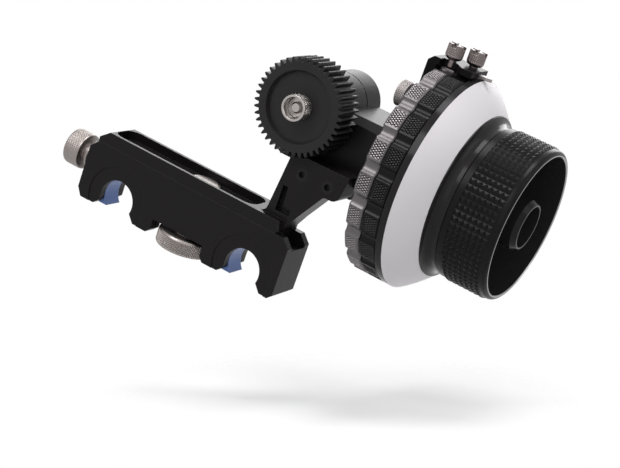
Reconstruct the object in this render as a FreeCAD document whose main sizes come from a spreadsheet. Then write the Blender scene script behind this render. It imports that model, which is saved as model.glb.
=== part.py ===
import FreeCAD, Part
import math
import os
import re

import Sketcher

# Follow focus unit for two 15 mm rods.
#
# Frame: the origin lies midway between the two rod axes, in the middle of the
# clamp's length. Y runs along the rods, X across them towards the handwheel,
# Z up. The wheel turns about an X axis, and the drive gear and the countershaft
# turn about Y axes inside the gearbox.

SIZES = {
    # Rods and the clamp block. Heights are above the rod axes.
    "rod_pitch": 60,
    "rod_diameter": 15,
    "rod_play": 0.1,
    "clamp_length": 16,
    "clamp_left": 48,
    "clamp_right": 45.4,
    "clamp_top": 18.4,
    "clamp_corner": 3.3,
    "web_underside": 0.5,
    "leg_drop": 5.5,
    "leg_bevel": 1.8,
    "toe_width": 2.2,
    "toe_height": 3.3,
    "middle_leg": 11.8,
    "leg_front": 6,
    "leg_relief": 6,
    "throat_wall": 3.4,
    "throat_flare": 2.2,
    "throat_hook": 19,
    "face_ring_radius": 13,
    "face_ring_depth": 0.4,
    "channel_width": 10,
    "channel_floor": 14,
    # Jaws, the bar that joins them and the screw that drives them.
    "jaw_width": 9,
    "jaw_play": 0.1,
    "jaw_travel": 3.5,
    "jaw_end_gap": 0.2,
    "jaw_back": 3.7,
    "jaw_drop": 5.2,
    "jaw_shoulder": 9.4,
    "jaw_ear": 6.3,
    "jaw_crown": 1,
    "jaw_bar_height": 4,
    "jaw_bar_inset": 4,
    "jaw_screw_inset": 2,
    "side_screw_height": 9,
    "side_screw_radius": 1.9,
    "side_head_radius": 7.3,
    "side_head_length": 7,
    "side_neck_radius": 4.2,
    "side_neck_length": 2.2,
    "side_collar_radius": 5.7,
    "side_collar_length": 2.9,
    "clip_radius": 3.8,
    "clip_thickness": 1,
    # Lock stud and knob.
    "stud_radius": 2.5,
    "stud_play": 0.1,
    "stud_head_radius": 6.3,
    "stud_head_height": 1.3,
    "knob_radius": 11.2,
    "knob_height": 6.4,
    "knob_neck_radius": 6,
    "knob_neck_height": 1.05,
    # Rail and arm, which slide across the rods.
    "rail_left": 45,
    "rail_right": 38.4,
    "rail_height": 5,
    "rail_nose": 4,
    "recess_width": 13,
    "recess_depth": 3.5,
    "recess_corner": 4.5,
    "slot_width": 6.4,
    "slide_left": 18.8,
    "slide_right": 34.4,
    "slide_end_gap": 0.1,
    "tongue_gap": 0.05,
    "tongue_clear": 0.6,
    "arm_thickness": 10,
    "arm_foot": 30.2,
    "arm_root_radius": 2.5,
    "arm_top": 48.7,
    "arm_top_left": 33,
    "arm_top_right": 57.6,
    "arm_head_right": 55.9,
    "arm_head_bottom": 38.2,
    "arm_head_radius": 3.2,
    "arm_neck": 50.4,
    "arm_neck_radius": 2,
    "arm_heel_right": 42.2,
    "arm_heel_top": 25.4,
    "boot_left": 33.7,
    "boot_bottom": 25.6,
    "boot_toe": 39.8,
    "boot_instep": 28.6,
    "boot_ankle": 36.4,
    "boot_top": 35.6,
    "boot_depth": 2.5,
    "arm_screw_left": 39.3,
    "arm_screw_right": 50.4,
    "arm_screw_rise": 3.9,
    # Gearbox housing.
    "body_bottom": 42.8,
    "body_section": 25,
    "body_right": 63.5,
    "body_edge": 2.7,
    "body_round": 5,
    "drive_across": 31.2,
    "housing_radius": 11.5,
    "housing_groove_at": 17,
    "housing_groove": 0.6,
    "wall": 3,
    "left_wall": 4.5,
    "cavity_right": 44,
    "drive_room": 8,
    "cover_thickness": 2,
    "foot_left": 34,
    "foot_right": 56,
    "foot_inset": 0.3,
    "foot_depth": 9,
    "cap_length": 4,
    # Gears.
    "drive_teeth": 43,
    "drive_module": 0.8,
    "drive_gap": 2,
    "drive_clear": 0.5,
    "drive_width": 12.45,
    "dish_radius": 13.3,
    "dish_depth": 1.8,
    "spur_teeth": 20,
    "spur_module": 0.5,
    "spur_width": 2.2,
    "bevel_teeth": 16,
    "bevel_module": 0.75,
    "bevel_face": 2.1,
    "bevel_hub_radius": 4.2,
    "counter_hub_length": 2,
    "wheel_hub_length": 4.3,
    "pressure_angle": 20,
    "backlash": 0.12,
    # Shafts and bearings.
    "running_fit": 0.03,
    "drive_shaft_radius": 2.5,
    "drive_flange_radius": 6,
    "drive_bearing_radius": 5,
    "drive_bearing_width": 2.5,
    "nut_radius": 4.9,
    "nut_stand": 3.6,
    "nut_wall": 1.1,
    "counter_shaft_radius": 1.5,
    "counter_bearing_radius": 3.5,
    "counter_bearing_width": 2,
    "counter_boss_radius": 5,
    "counter_boss": 1.8,
    "wheel_shaft_radius": 3,
    "bevel_shaft_radius": 2,
    "inner_bearing_radius": 5.5,
    "outer_bearing_radius": 6.5,
    "wheel_bearing_width": 3,
    "shaft_room": 0.4,
    # Stop carrier and the two stop rings.
    "carrier_thickness": 3.8,
    "carrier_radius": 19,
    "sleeve_radius": 9.5,
    "sleeve_end_gap": 0.3,
    "ear_thickness": 2.7,
    "ear_radius": 5.5,
    "carrier_screw_offset": 9.5,
    "washer_thickness": 0.3,
    "washer_radius": 13,
    "ring_radius": 40.5,
    "ring_bore_fit": 0.05,
    "ring_a_width": 5.85,
    "ring_b_width": 6.75,
    "ring_gap": 0.1,
    "ring_edge": 0.5,
    "ring_rim_inner": 33,
    "ring_relief": 2.4,
    "ring_pads": 20,
    "scallop_depth": 1.2,
    "scallop_radius": 3.2,
    "pad_angle_a": 0.3,
    "pad_angle_b": 0.7,
    "retainer_radius": 12,
    "retainer_thickness": 0.9,
    "retainer_seat": 1.3,
    "retainer_bite": 0.5,
    # Top bracket, lock screws and pointer.
    "bracket_ahead": 7.5,
    "bracket_width": 14,
    "bracket_reach": 4.1,
    "bracket_thickness": 2.4,
    "bracket_gap": 0.3,
    "bracket_corner": 2,
    "leg_thickness": 3.5,
    "leg_foot_clear": 0.7,
    "leg_below_thumb": 4.7,
    "leg_taper_length": 10,
    "leg_taper": 2.5,
    "notch_before": 2.5,
    "notch_after": 5.9,
    "notch_depth": 3.4,
    "lock_a_inset": 4.5,
    "lock_b_inset": 9.5,
    "lock_stem_radius": 1.6,
    "lock_tip_gap": 0.15,
    "lock_head_radius": 3.25,
    "lock_head_round": 1.6,
    "lock_head_height": 5.6,
    "lock_head_clear": 0.5,
    "castle_slot": 1.8,
    "castle_depth": 1.3,
    "thumb_head_radius": 5,
    "thumb_head_length": 3.8,
    "thumb_neck_radius": 2.8,
    "thumb_neck_length": 2.2,
    "thumb_stem_radius": 1.5,
    "pointer_length": 5,
    "pointer_width": 2.6,
    "pointer_thickness": 1.2,
    # Handwheel. Stations are along X from the hub's back face.
    "hub_gap": 0.2,
    "flange_thickness": 2.6,
    "hub_radius": 27.8,
    "drum_radius": 26.8,
    "hub_relief_inner": 12,
    "hub_relief_outer": 25,
    "hub_relief_depth": 13.5,
    "disc_length": 9.5,
    "disc_front_step": 3.6,
    "disc_bulge": 60,
    "disc_fit": 0.05,
    "collar_length": 5,
    "collar_step": 3.4,
    "collar_lip": 0.5,
    "collar_neck_step": 0.6,
    "collar_neck_length": 1.6,
    "collar_cove": 3.5,
    "grip_length": 20.4,
    "grip_radius": 29.4,
    "grip_edge": 0.5,
    "grip_lip_step": 0.6,
    "grip_back_band": 1.6,
    "grip_front_band": 3.6,
    "grip_nose": 1.6,
    "grip_nose_radius": 2.2,
    "dish_floor": 14,
    "boss_radius": 9.7,
    "boss_taper": 1.2,
    "boss_taper_length": 2,
    "socket_radius": 7.9,
    "socket_depth": 11,
    "insert_length": 4,
    "insert_square": 7,
    "hub_screw_head": 2.8,
    "hub_screw_head_length": 2.5,
    "hub_screw_radius": 1.5,
    "hub_screw_length": 10,
    # Small screws.
    "arm_screw_radius": 1.5,
    "arm_screw_head": 2.5,
    "arm_screw_head_length": 2.5,
    "arm_screw_length": 16,
    "small_screw_radius": 0.9,
    "small_screw_head": 1.7,
    "small_screw_head_length": 1.2,
    "screw_fit": 0.05,
}

document = FreeCAD.newDocument("follow_focus")
sheet = document.addObject("Spreadsheet::Sheet", "sizes")
for row, (alias, amount) in enumerate(SIZES.items(), start=1):
    sheet.set("A%d" % row, alias)
    sheet.set("B%d" % row, str(amount))
    sheet.setAlias("B%d" % row, alias)
document.recompute()

# Lengths and places that follow from the sizes, as expressions on the sheet.
BORE = "(rod_diameter / 2 + rod_play)"
LEFT_ROD = "(-rod_pitch / 2)"
RIGHT_ROD = "(rod_pitch / 2)"
JAW_REACH = "(rod_diameter / 2 + rod_play + jaw_back)"
POCKET_REACH = "(rod_diameter / 2 + rod_play + jaw_back + jaw_travel + jaw_end_gap)"
BAR_LEFT = "(-rod_pitch / 2 - rod_diameter / 2 - rod_play - jaw_back + jaw_ear)"
BAR_RIGHT = "(rod_pitch / 2 - jaw_bar_inset)"
BAR_TOP = "(jaw_shoulder + jaw_bar_height)"
SIDE_WALL = "(clamp_left - rod_pitch / 2 - rod_diameter / 2 - rod_play - jaw_back - jaw_travel - jaw_end_gap)"
RAIL_TOP = "(clamp_top + rail_height)"
BODY_FRONT = "(arm_thickness / 2)"
SHELL_BACK = "(arm_thickness / 2 + body_section - cover_thickness)"
BODY_BACK = "(arm_thickness / 2 + body_section)"
WHEEL_BACK = "(arm_thickness / 2 + body_section / 2)"
WHEEL_UP = "(body_bottom + body_section / 2)"
DRIVE_UP = "(body_bottom + body_section / 2 + spur_teeth * spur_module)"
DRIVE_TIP = "(drive_teeth * drive_module / 2 + drive_module)"
BODY_LEFT = "(drive_across - housing_radius)"
BEVEL_REACH = "(bevel_teeth * bevel_module / 2)"
CARRIER_FRONT = "(body_right + carrier_thickness)"
RING_A_BACK = "(body_right + carrier_thickness + washer_thickness)"
RING_B_BACK = "(body_right + carrier_thickness + washer_thickness + ring_a_width + ring_gap)"
RING_B_FRONT = RING_B_BACK[:-1] + " + ring_b_width)"
HUB_BACK = RING_B_FRONT[:-1] + " + hub_gap)"
DISC_BACK = HUB_BACK[:-1] + " + flange_thickness)"
COLLAR_BACK = DISC_BACK[:-1] + " + disc_length)"
GRIP_BACK = COLLAR_BACK[:-1] + " + collar_length)"
GRIP_FRONT = GRIP_BACK[:-1] + " + grip_length)"
SOCKET_FLOOR = GRIP_FRONT[:-1] + " - socket_depth)"
ARM_SCREW_UP = "(arm_head_bottom + arm_screw_rise)"
PLATE_BOTTOM = WHEEL_UP[:-1] + " + ring_radius + bracket_gap)"
PLATE_TOP = PLATE_BOTTOM[:-1] + " + bracket_thickness)"
BRACKET_FRONT = WHEEL_BACK[:-1] + " - bracket_ahead)"
BRACKET_BACK = BRACKET_FRONT[:-1] + " + bracket_width)"
LOCK_A = (RING_A_BACK[:-1] + " + ring_a_width / 2)", BRACKET_FRONT[:-1] + " + lock_a_inset)")
LOCK_B = (RING_B_BACK[:-1] + " + ring_b_width / 2)", BRACKET_FRONT[:-1] + " + lock_b_inset)")
BRACKET_END = LOCK_B[0][:-1] + " + bracket_reach)"
LEG_FOOT = WHEEL_UP[:-1] + " + carrier_radius + leg_foot_clear)"
THUMB_UP = LEG_FOOT[:-1] + " + leg_below_thumb)"
NUT_FRONT = "(arm_thickness / 2 - drive_gap - drive_width - nut_stand)"

TURNS = {
    "+Z": FreeCAD.Rotation(),
    "-Z": FreeCAD.Rotation(FreeCAD.Vector(1, 0, 0), 180),
    "+Y": FreeCAD.Rotation(FreeCAD.Vector(1, 0, 0), -90),
    "-Y": FreeCAD.Rotation(FreeCAD.Vector(1, 0, 0), 90),
    "+X": FreeCAD.Rotation(FreeCAD.Vector(0, 1, 0), 90),
    "-X": FreeCAD.Rotation(FreeCAD.Vector(0, 1, 0), -90),
}
PLANES = {"X": "YZ_Plane", "Y": "XZ_Plane", "Z": "XY_Plane"}
WORD = re.compile(r"[a-z][a-z_]*")
SUB_PARTS = []


def on_sheet(expression):
    """The expression with the name of each size turned into its cell."""
    return WORD.sub(lambda word: "sizes." + word[0] if word[0] in SIZES else word[0], expression)


def number(expression):
    """What an expression gives with the sheet's present sizes."""
    return float(sheet.evalExpression(on_sheet(expression)))


def bind(thing, expressions):
    """Tie properties of an object to expressions on the sheet."""
    for path, expression in expressions.items():
        thing.setExpression(path, on_sheet(expression))


def place(thing, direction, spot):
    """Put an object's own Z axis along a direction and its origin at a spot."""
    thing.Placement = FreeCAD.Placement(FreeCAD.Vector(), TURNS[direction])
    bind(thing, {"Placement.Base." + axis: along for axis, along in zip("xyz", spot)})


def ahead(spot, direction, distance):
    """The spot moved by a distance along a direction."""
    return tuple(
        "(%s) %s (%s)" % (along, direction[0], distance) if axis == direction[1] else along
        for axis, along in zip("XYZ", spot)
    )


def keep(thing, label):
    """Name an object as a finished sub-part."""
    thing.Label = label
    SUB_PARTS.append(thing)
    return thing


def add_outline(sketch, points):
    """Draw a closed outline whose corners are bound to the sheet.

    A corner is (across, up). A third entry is the radius of an arc to the next
    corner, which bulges to the right of that way.
    """
    corners = [FreeCAD.Vector(number(point[0]), number(point[1]), 0) for point in points]
    ends = []
    for index, point in enumerate(points):
        start = corners[index]
        finish = corners[(index + 1) % len(points)]
        if len(point) == 2:
            edge = sketch.addGeometry(Part.LineSegment(start, finish), False)
            ends.append((edge, 1, 2))
            continue
        way = finish - start
        radius = number(point[2])
        rise = radius - math.sqrt(radius * radius - way.Length * way.Length / 4)
        middle = (start + finish) / 2 + FreeCAD.Vector(way.y, -way.x, 0).normalize() * rise
        edge = sketch.addGeometry(Part.Arc(start, middle, finish), False)
        turned = sketch.Geometry[edge].StartPoint.distanceToPoint(start) > rise / 2
        ends.append((edge, 2, 1) if turned else (edge, 1, 2))
        bound = sketch.addConstraint(Sketcher.Constraint("Radius", edge, radius))
        sketch.setExpression("Constraints[%d]" % bound, on_sheet(point[2]))
    for index, (edge, first, last) in enumerate(ends):
        following = ends[(index + 1) % len(ends)]
        sketch.addConstraint(Sketcher.Constraint("Coincident", edge, last, following[0], following[1]))
        for kind, expression in zip(("DistanceX", "DistanceY"), points[index]):
            rule = Sketcher.Constraint(kind, -1, 1, edge, first, number(expression))
            bound = sketch.addConstraint(rule)
            sketch.setExpression("Constraints[%d]" % bound, on_sheet(expression))


def add_circle(sketch, across, up, radius):
    """Draw a circle whose centre and radius are bound to the sheet."""
    centre = FreeCAD.Vector(number(across), number(up), 0)
    circle = Part.Circle(centre, FreeCAD.Vector(0, 0, 1), number(radius))
    edge = sketch.addGeometry(circle, False)
    rules = (
        (Sketcher.Constraint("DistanceX", -1, 1, edge, 3, number(across)), across),
        (Sketcher.Constraint("DistanceY", -1, 1, edge, 3, number(up)), up),
        (Sketcher.Constraint("Radius", edge, number(radius)), radius),
    )
    for rule, expression in rules:
        bound = sketch.addConstraint(rule)
        sketch.setExpression("Constraints[%d]" % bound, on_sheet(expression))


def box(left, low, right, high):
    """Corners of an upright rectangle."""
    return [(left, low), (right, low), (right, high), (left, high)]


class Piece:
    """A PartDesign body that is built up feature by feature."""

    def __init__(self, label, direction="+Z", spot=("0", "0", "0")):
        self.body = keep(document.addObject("PartDesign::Body", label), label)
        place(self.body, direction, spot)
        self.last = None

    def origin(self, role):
        return next(item for item in self.body.Origin.OriginFeatures if item.Role == role)

    def sketch(self, axis, station, outline, circles):
        drawing = self.body.newObject("Sketcher::SketchObject", "outline")
        drawing.AttachmentSupport = [(self.origin(PLANES[axis]), "")]
        drawing.MapMode = "FlatFace"
        # The XZ plane looks along -Y, so its offset counts backwards.
        sign = "-" if axis == "Y" else ""
        bind(drawing, {"AttachmentOffset.Base.z": "%s(%s)" % (sign, station)})
        if outline:
            add_outline(drawing, outline)
        for circle in circles:
            add_circle(drawing, *circle)
        return drawing

    def finish(self, feature, expressions):
        bind(feature, expressions)
        self.body.Tip = feature
        document.recompute()
        self.last = feature
        return feature

    def pad(self, axis, low, high, outline=None, circles=()):
        """Add material between two stations along an axis."""
        station = high if axis == "Y" else low
        drawing = self.sketch(axis, station, outline, circles)
        feature = self.body.newObject("PartDesign::Pad", "pad")
        feature.Profile = drawing
        return self.finish(feature, {"Length": "(%s) - (%s)" % (high, low)})

    def pocket(self, axis, low, high, outline=None, circles=()):
        """Cut material away between two stations along an axis."""
        before = self.last.Shape.Volume
        station = low if axis == "Y" else high
        drawing = self.sketch(axis, station, outline, circles)
        feature = self.body.newObject("PartDesign::Pocket", "pocket")
        feature.Profile = drawing
        self.finish(feature, {"Length": "(%s) - (%s)" % (high, low)})
        if feature.Shape.Volume >= before:
            raise RuntimeError("a pocket of %s cuts nothing" % self.body.Label)
        return feature

    def spin(self, outline, kind="PartDesign::Revolution"):
        """Turn an outline of (radius, station) about the body's own Z axis."""
        drawing = self.sketch("Y", "0", outline, ())
        feature = self.body.newObject(kind, "turned")
        feature.Profile = drawing
        feature.ReferenceAxis = (drawing, ["V_Axis"])
        feature.Angle = 360
        return self.finish(feature, {})

    def repeat_round(self, features, count):
        """Repeat features evenly about the body's own Z axis."""
        pattern = self.body.newObject("PartDesign::PolarPattern", "round")
        pattern.Originals = features
        pattern.Axis = (self.origin("Z_Axis"), [""])
        pattern.Angle = 360
        return self.finish(pattern, {"Occurrences": count})

    def repeat_across(self, features, pitch):
        """Repeat features once more, a pitch further along X."""
        pattern = self.body.newObject("PartDesign::LinearPattern", "across")
        pattern.Originals = features
        pattern.Direction = (self.origin("X_Axis"), [""])
        pattern.Occurrences = 2
        return self.finish(pattern, {"Length": pitch})

    def dress(self, kind, axis, spots, size, prop):
        """Fillet or chamfer the straight edges that run along an axis at given spots."""
        kept = [index for index in range(3) if "XYZ"[index] != axis]
        wanted = [[number(value) for value in spot] for spot in spots]
        names = []
        for index, edge in enumerate(self.last.Shape.Edges, start=1):
            ends = [vertex.Point for vertex in edge.Vertexes]
            if len(ends) == 2 and any(
                all(abs(end[k] - value) < 0.01 for end in ends for k, value in zip(kept, spot))
                for spot in wanted
            ):
                names.append("Edge%d" % index)
        feature = self.body.newObject("PartDesign::" + kind, kind.lower())
        feature.Base = (self.last, names)
        return self.finish(feature, {prop: size})

    def fillet(self, axis, spots, size):
        return self.dress("Fillet", axis, spots, size, "Radius")

    def chamfer(self, axis, spots, size):
        return self.dress("Chamfer", axis, spots, size, "Size")


def turned(label, direction, spot, outline):
    """A piece that is one turned outline of (radius, station)."""
    piece = Piece(label, direction, spot)
    piece.spin(outline)
    return piece


def bearing(label, direction, spot, bore, radius, width):
    """A shielded ball bearing as one ring, with a fine step at each face."""
    step = "(%s) * 0.1" % width
    inner = "(%s) + ((%s) - (%s)) * 0.3" % (bore, radius, bore)
    outer = "(%s) - ((%s) - (%s)) * 0.25" % (radius, radius, bore)
    return turned(label, direction, spot, [
        (bore, "0"), (inner, "0"), (inner, step), (outer, step), (outer, "0"), (radius, "0"),
        (radius, width), (outer, width), (outer, "(%s) - %s" % (width, step)),
        (inner, "(%s) - %s" % (width, step)), (inner, width), (bore, width),
    ])


def cylinder(direction, spot, radius, length):
    """A cylinder that starts at a spot and runs along a direction."""
    thing = document.addObject("Part::Cylinder", "cylinder")
    place(thing, direction, spot)
    bind(thing, {"Radius": radius, "Height": length})
    return thing


def screws(label, direction, spots, head, head_length, shank, length, key="0"):
    """Equal screws whose heads' outer faces lie at the spots, in one group."""
    group = []
    for spot in spots:
        screw = document.addObject("Part::Fuse", "screw")
        screw.Base = cylinder(direction, spot, head, head_length)
        screw.Tool = cylinder(direction, spot, shank, length)
        if key != "0":
            socket = document.addObject("Part::Prism", "socket")
            socket.Polygon = 6
            place(socket, direction, spot)
            bind(socket, {"Circumradius": key, "Height": "(%s) * 0.6" % head_length})
            cut = document.addObject("Part::Cut", "screw")
            cut.Base = screw
            cut.Tool = socket
            screw = cut
        group.append(screw)
    compound = document.addObject("Part::Compound", label)
    compound.Links = group
    return keep(compound, label)


def tooth_outline(teeth, module, radius_in, radius_out, turn):
    """Corners of a gear's outline, with three corners on each involute flank."""
    pitch = teeth * module / 2
    angle = math.radians(number("pressure_angle"))
    base = pitch * math.cos(angle)
    half = math.pi / teeth / 2 - number("backlash") / pitch / 2
    corners = []

    def half_width(radius):
        tilt = math.acos(min(1, base / radius))
        return half + math.tan(angle) - angle - math.tan(tilt) + tilt

    flank = [(radius, half_width(radius)) for radius in (radius_in, pitch, radius_out)]
    for index in range(teeth):
        middle = turn + index * math.tau / teeth
        for radius, width in flank:
            corners.append((radius, middle - width))
        for radius, width in reversed(flank):
            corners.append((radius, middle + width))
    return [
        FreeCAD.Vector(radius * math.cos(spot), radius * math.sin(spot), 0)
        for radius, spot in corners
    ]


def toothed_blank(name, direction, spot, teeth, module, width, turn):
    """A straight-toothed gear without its bore."""
    count = round(number(teeth))
    size = number(module)
    pitch = count * size / 2
    corners = tooth_outline(count, size, pitch - 1.25 * size, pitch + size, turn)
    face = Part.Face(Part.makePolygon(corners + corners[:1]))
    blank = document.addObject("Part::Feature", name)
    blank.Shape = face.extrude(FreeCAD.Vector(0, 0, number(width)))
    place(blank, direction, spot)
    return blank


def bevel_blank(name, direction, spot, turn):
    """A straight bevel gear of a 1:1 pair, large end first, that narrows along +Z."""
    count = round(number("bevel_teeth"))
    size = number("bevel_module")
    reach = number(BEVEL_REACH)
    corners = tooth_outline(count, size, reach - 1.2 * size, reach + 0.8 * size, turn)
    shrink = 1 - number("bevel_face") / reach
    rings = []
    for scale in (1, shrink):
        ring = [corner * scale + FreeCAD.Vector(0, 0, reach * (1 - scale)) for corner in corners]
        rings.append(Part.makePolygon(ring + ring[:1]))
    blank = document.addObject("Part::Feature", name)
    blank.Shape = Part.makeLoft(rings, True, True)
    place(blank, direction, spot)
    return blank


def cut_from(label, base, *tools):
    """A finished sub-part: a base less the tools, each a document object."""
    for tool in tools:
        cut = document.addObject("Part::Cut", label + "_cut")
        cut.Base = base
        cut.Tool = tool
        base = cut
    return keep(base, label)


# --- Rod clamp -----------------------------------------------------------------

def build_clamp_block():
    """Block that drops over both rods, with legs, throats, channel and jaw room."""
    half = "clamp_length / 2"
    block = Piece("clamp_block")
    block.pad("Y", "-clamp_length / 2", half, [
        ("-clamp_left", "clamp_top - clamp_corner"),
        ("-clamp_left", "toe_height - leg_drop"),
        ("toe_width - clamp_left", "-leg_drop"),
        ("-middle_leg - leg_bevel", "-leg_drop"),
        ("-middle_leg", "leg_bevel - leg_drop"),
        ("-middle_leg", "web_underside"),
        ("middle_leg", "web_underside"),
        ("middle_leg", "leg_bevel - leg_drop"),
        ("middle_leg + leg_bevel", "-leg_drop"),
        ("clamp_right - leg_bevel", "-leg_drop"),
        ("clamp_right", "leg_bevel - leg_drop"),
        ("clamp_right", "clamp_top - clamp_corner"),
        ("clamp_right - clamp_corner", "clamp_top"),
        ("clamp_corner - clamp_left", "clamp_top"),
    ])
    across = LEFT_ROD
    hook = (across + " + " + BORE + " * cos(throat_hook)", "-" + BORE + " * sin(throat_hook)")
    room = (across + " - " + POCKET_REACH, across + " - jaw_crown + jaw_play")
    jaw_half = "jaw_width / 2 + jaw_play"
    cuts = [
        block.pocket("Y", "-" + half, half, circles=[(across, "0", BORE)]),
        block.pocket("Y", "-" + half, half, [
            (across + " - " + BORE, "0"),
            (across + " - " + BORE, "-throat_wall"),
            (across + " - " + BORE + " - throat_flare", "-leg_drop"),
            (across + " + " + BORE + " + throat_flare", "-leg_drop"),
            hook,
        ]),
        block.pocket("Y", "-" + half, "face_ring_depth - clamp_length / 2",
                     circles=[(across, "0", "face_ring_radius")]),
        block.pocket("Y", "-(%s)" % jaw_half, jaw_half,
                     box(room[0], "-leg_drop", room[1], "jaw_shoulder")),
    ]
    block.repeat_across(cuts, "rod_pitch")
    # The left middle leg is full only in front: behind, it clears the knob's edge.
    block.pocket("Y", "leg_front - " + half, half,
                 box("-middle_leg - leg_relief", "-leg_drop", "-middle_leg", "web_underside"))
    block.pocket("X", "-clamp_left", "clamp_right",
                 box("-channel_width / 2", "channel_floor", "channel_width / 2", "clamp_top"))
    block.pocket("Y", "-(%s)" % jaw_half, jaw_half,
                 box(room[0], "jaw_shoulder - jaw_end_gap", BAR_RIGHT + " + jaw_end_gap",
                     "channel_floor"))
    block.pocket("X", "-clamp_left", "-clamp_left + " + SIDE_WALL,
                 circles=[("0", "side_screw_height", "side_screw_radius + jaw_play")])
    block.pocket("X", "-clamp_left + %s - clip_thickness - jaw_end_gap" % SIDE_WALL,
                 "-clamp_left + " + SIDE_WALL,
                 circles=[("0", "side_screw_height", "clip_radius + jaw_end_gap")])
    block.pocket("Z", "web_underside", "jaw_shoulder",
                 circles=[("0", "0", "stud_radius")])


def build_jaw(label, across, ear_height):
    """Jaw that grips a rod from its left side and from below."""
    jaw = Piece(label)
    half = "jaw_width / 2"
    outline = [
        (across + " - " + JAW_REACH, "-jaw_drop"),
        (across + " - jaw_crown", "-jaw_drop"),
        (across + " - jaw_crown", "jaw_shoulder"),
        (across + " - " + JAW_REACH + " + jaw_ear", "jaw_shoulder"),
        (across + " - " + JAW_REACH + " + jaw_ear", ear_height),
        (across + " - " + JAW_REACH, ear_height),
    ]
    if ear_height == "jaw_shoulder":
        outline = outline[:3] + outline[5:]
    jaw.pad("Y", "-" + half, half, outline)
    jaw.pocket("Y", "-" + half, half, circles=[(across, "0", BORE)])
    return jaw


def build_jaws():
    left = build_jaw("left_jaw", LEFT_ROD, BAR_TOP)
    left.pocket("X", LEFT_ROD + " - " + JAW_REACH, BAR_LEFT,
                circles=[("0", "side_screw_height", "side_screw_radius + jaw_play")])
    right = build_jaw("right_jaw", RIGHT_ROD, "jaw_shoulder")
    bar = Piece("jaw_bar")
    bar.pad("Y", "-jaw_width / 2", "jaw_width / 2",
            box(BAR_LEFT, "jaw_shoulder", BAR_RIGHT, BAR_TOP))
    slot = "(stud_radius + stud_play + jaw_end_gap)"
    bar.pocket("Z", "jaw_shoulder", BAR_TOP,
               box("-" + slot, "-" + slot, slot + " + jaw_travel", slot))
    spots = [(BAR_LEFT + " + jaw_screw_inset", "0", BAR_TOP),
             (BAR_RIGHT + " - jaw_screw_inset", "0", BAR_TOP)]
    depth = "jaw_bar_height + jaw_screw_inset"
    for spot in spots:
        bar.pocket("Z", "jaw_shoulder", BAR_TOP,
                   circles=[(spot[0], spot[1], "small_screw_radius + screw_fit")])
        bar.pocket("Z", BAR_TOP + " - small_screw_head_length", BAR_TOP,
                   circles=[(spot[0], spot[1], "small_screw_head + screw_fit")])
    for jaw, spot in ((left, spots[0]), (right, spots[1])):
        jaw.pocket("Z", BAR_TOP + " - (" + depth + ")", "jaw_shoulder",
                   circles=[(spot[0], spot[1], "small_screw_radius + screw_fit")])
    screws("jaw_screws", "-Z", spots, "small_screw_head", "small_screw_head_length",
           "small_screw_radius", depth)


def build_side_thumbscrew():
    """Screw that pushes the jaws, held in the clamp's side wall by a clip."""
    face = "(side_collar_length + side_neck_length + side_head_length)"
    tip = "(%s + %s + jaw_travel + jaw_ear / 2 - jaw_end_gap)" % (face, SIDE_WALL)
    spot = ("-clamp_left - " + face, "0", "side_screw_height")
    turned("side_thumbscrew", "+X", spot, [
        ("0", "0"),
        ("side_head_radius - grip_edge", "0"),
        ("side_head_radius", "grip_edge"),
        ("side_head_radius", "side_head_length - grip_edge"),
        ("side_head_radius - grip_edge", "side_head_length"),
        ("side_neck_radius", "side_head_length"),
        ("side_neck_radius", "side_head_length + side_neck_length"),
        ("side_collar_radius", "side_head_length + side_neck_length"),
        ("side_collar_radius", face + " - side_collar_length * 0.6"),
        ("side_neck_radius", face + " - side_collar_length * 0.6"),
        ("side_neck_radius", face + " - side_collar_length * 0.4"),
        ("side_collar_radius", face + " - side_collar_length * 0.4"),
        ("side_collar_radius", face),
        ("side_screw_radius", face),
        ("side_screw_radius", tip),
        ("0", tip),
    ])
    inner = "-clamp_left + %s - clip_thickness - jaw_end_gap / 2" % SIDE_WALL
    turned("screw_clip", "+X", (inner, "0", "side_screw_height"), [
        ("side_screw_radius", "0"), ("clip_radius", "0"),
        ("clip_radius", "clip_thickness"), ("side_screw_radius", "clip_thickness"),
    ])


def build_lock():
    """Stud through the rail's slot, and the knob that draws it down."""
    seat = "(%s - recess_depth)" % RAIL_TOP
    knob_top = "(web_underside - knob_neck_height)"
    tip = "(%s - knob_height + jaw_play + stud_radius / 2)" % knob_top
    turned("lock_stud", "+Z", ("0", "0", "0"), [
        ("0", tip),
        ("stud_radius", tip),
        ("stud_radius", seat),
        ("stud_head_radius", seat),
        ("stud_head_radius", seat + " + stud_head_height * 0.6"),
        ("stud_head_radius * 0.8", seat + " + stud_head_height"),
        ("0", seat + " + stud_head_height"),
    ])
    bore = "stud_radius + running_fit"
    turned("lock_knob", "+Z", ("0", "0", "0"), [
        (bore, "web_underside"),
        ("knob_neck_radius", "web_underside"),
        ("knob_neck_radius", knob_top),
        ("knob_radius - grip_edge", knob_top),
        ("knob_radius", knob_top + " - grip_edge"),
        ("knob_radius", knob_top + " - knob_height + grip_edge"),
        ("knob_radius - grip_edge", knob_top + " - knob_height"),
        ("0", knob_top + " - knob_height"),
        ("0", tip + " - jaw_play"),
        (bore, tip + " - jaw_play"),
    ])


# --- Sliding carriage ----------------------------------------------------------

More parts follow.
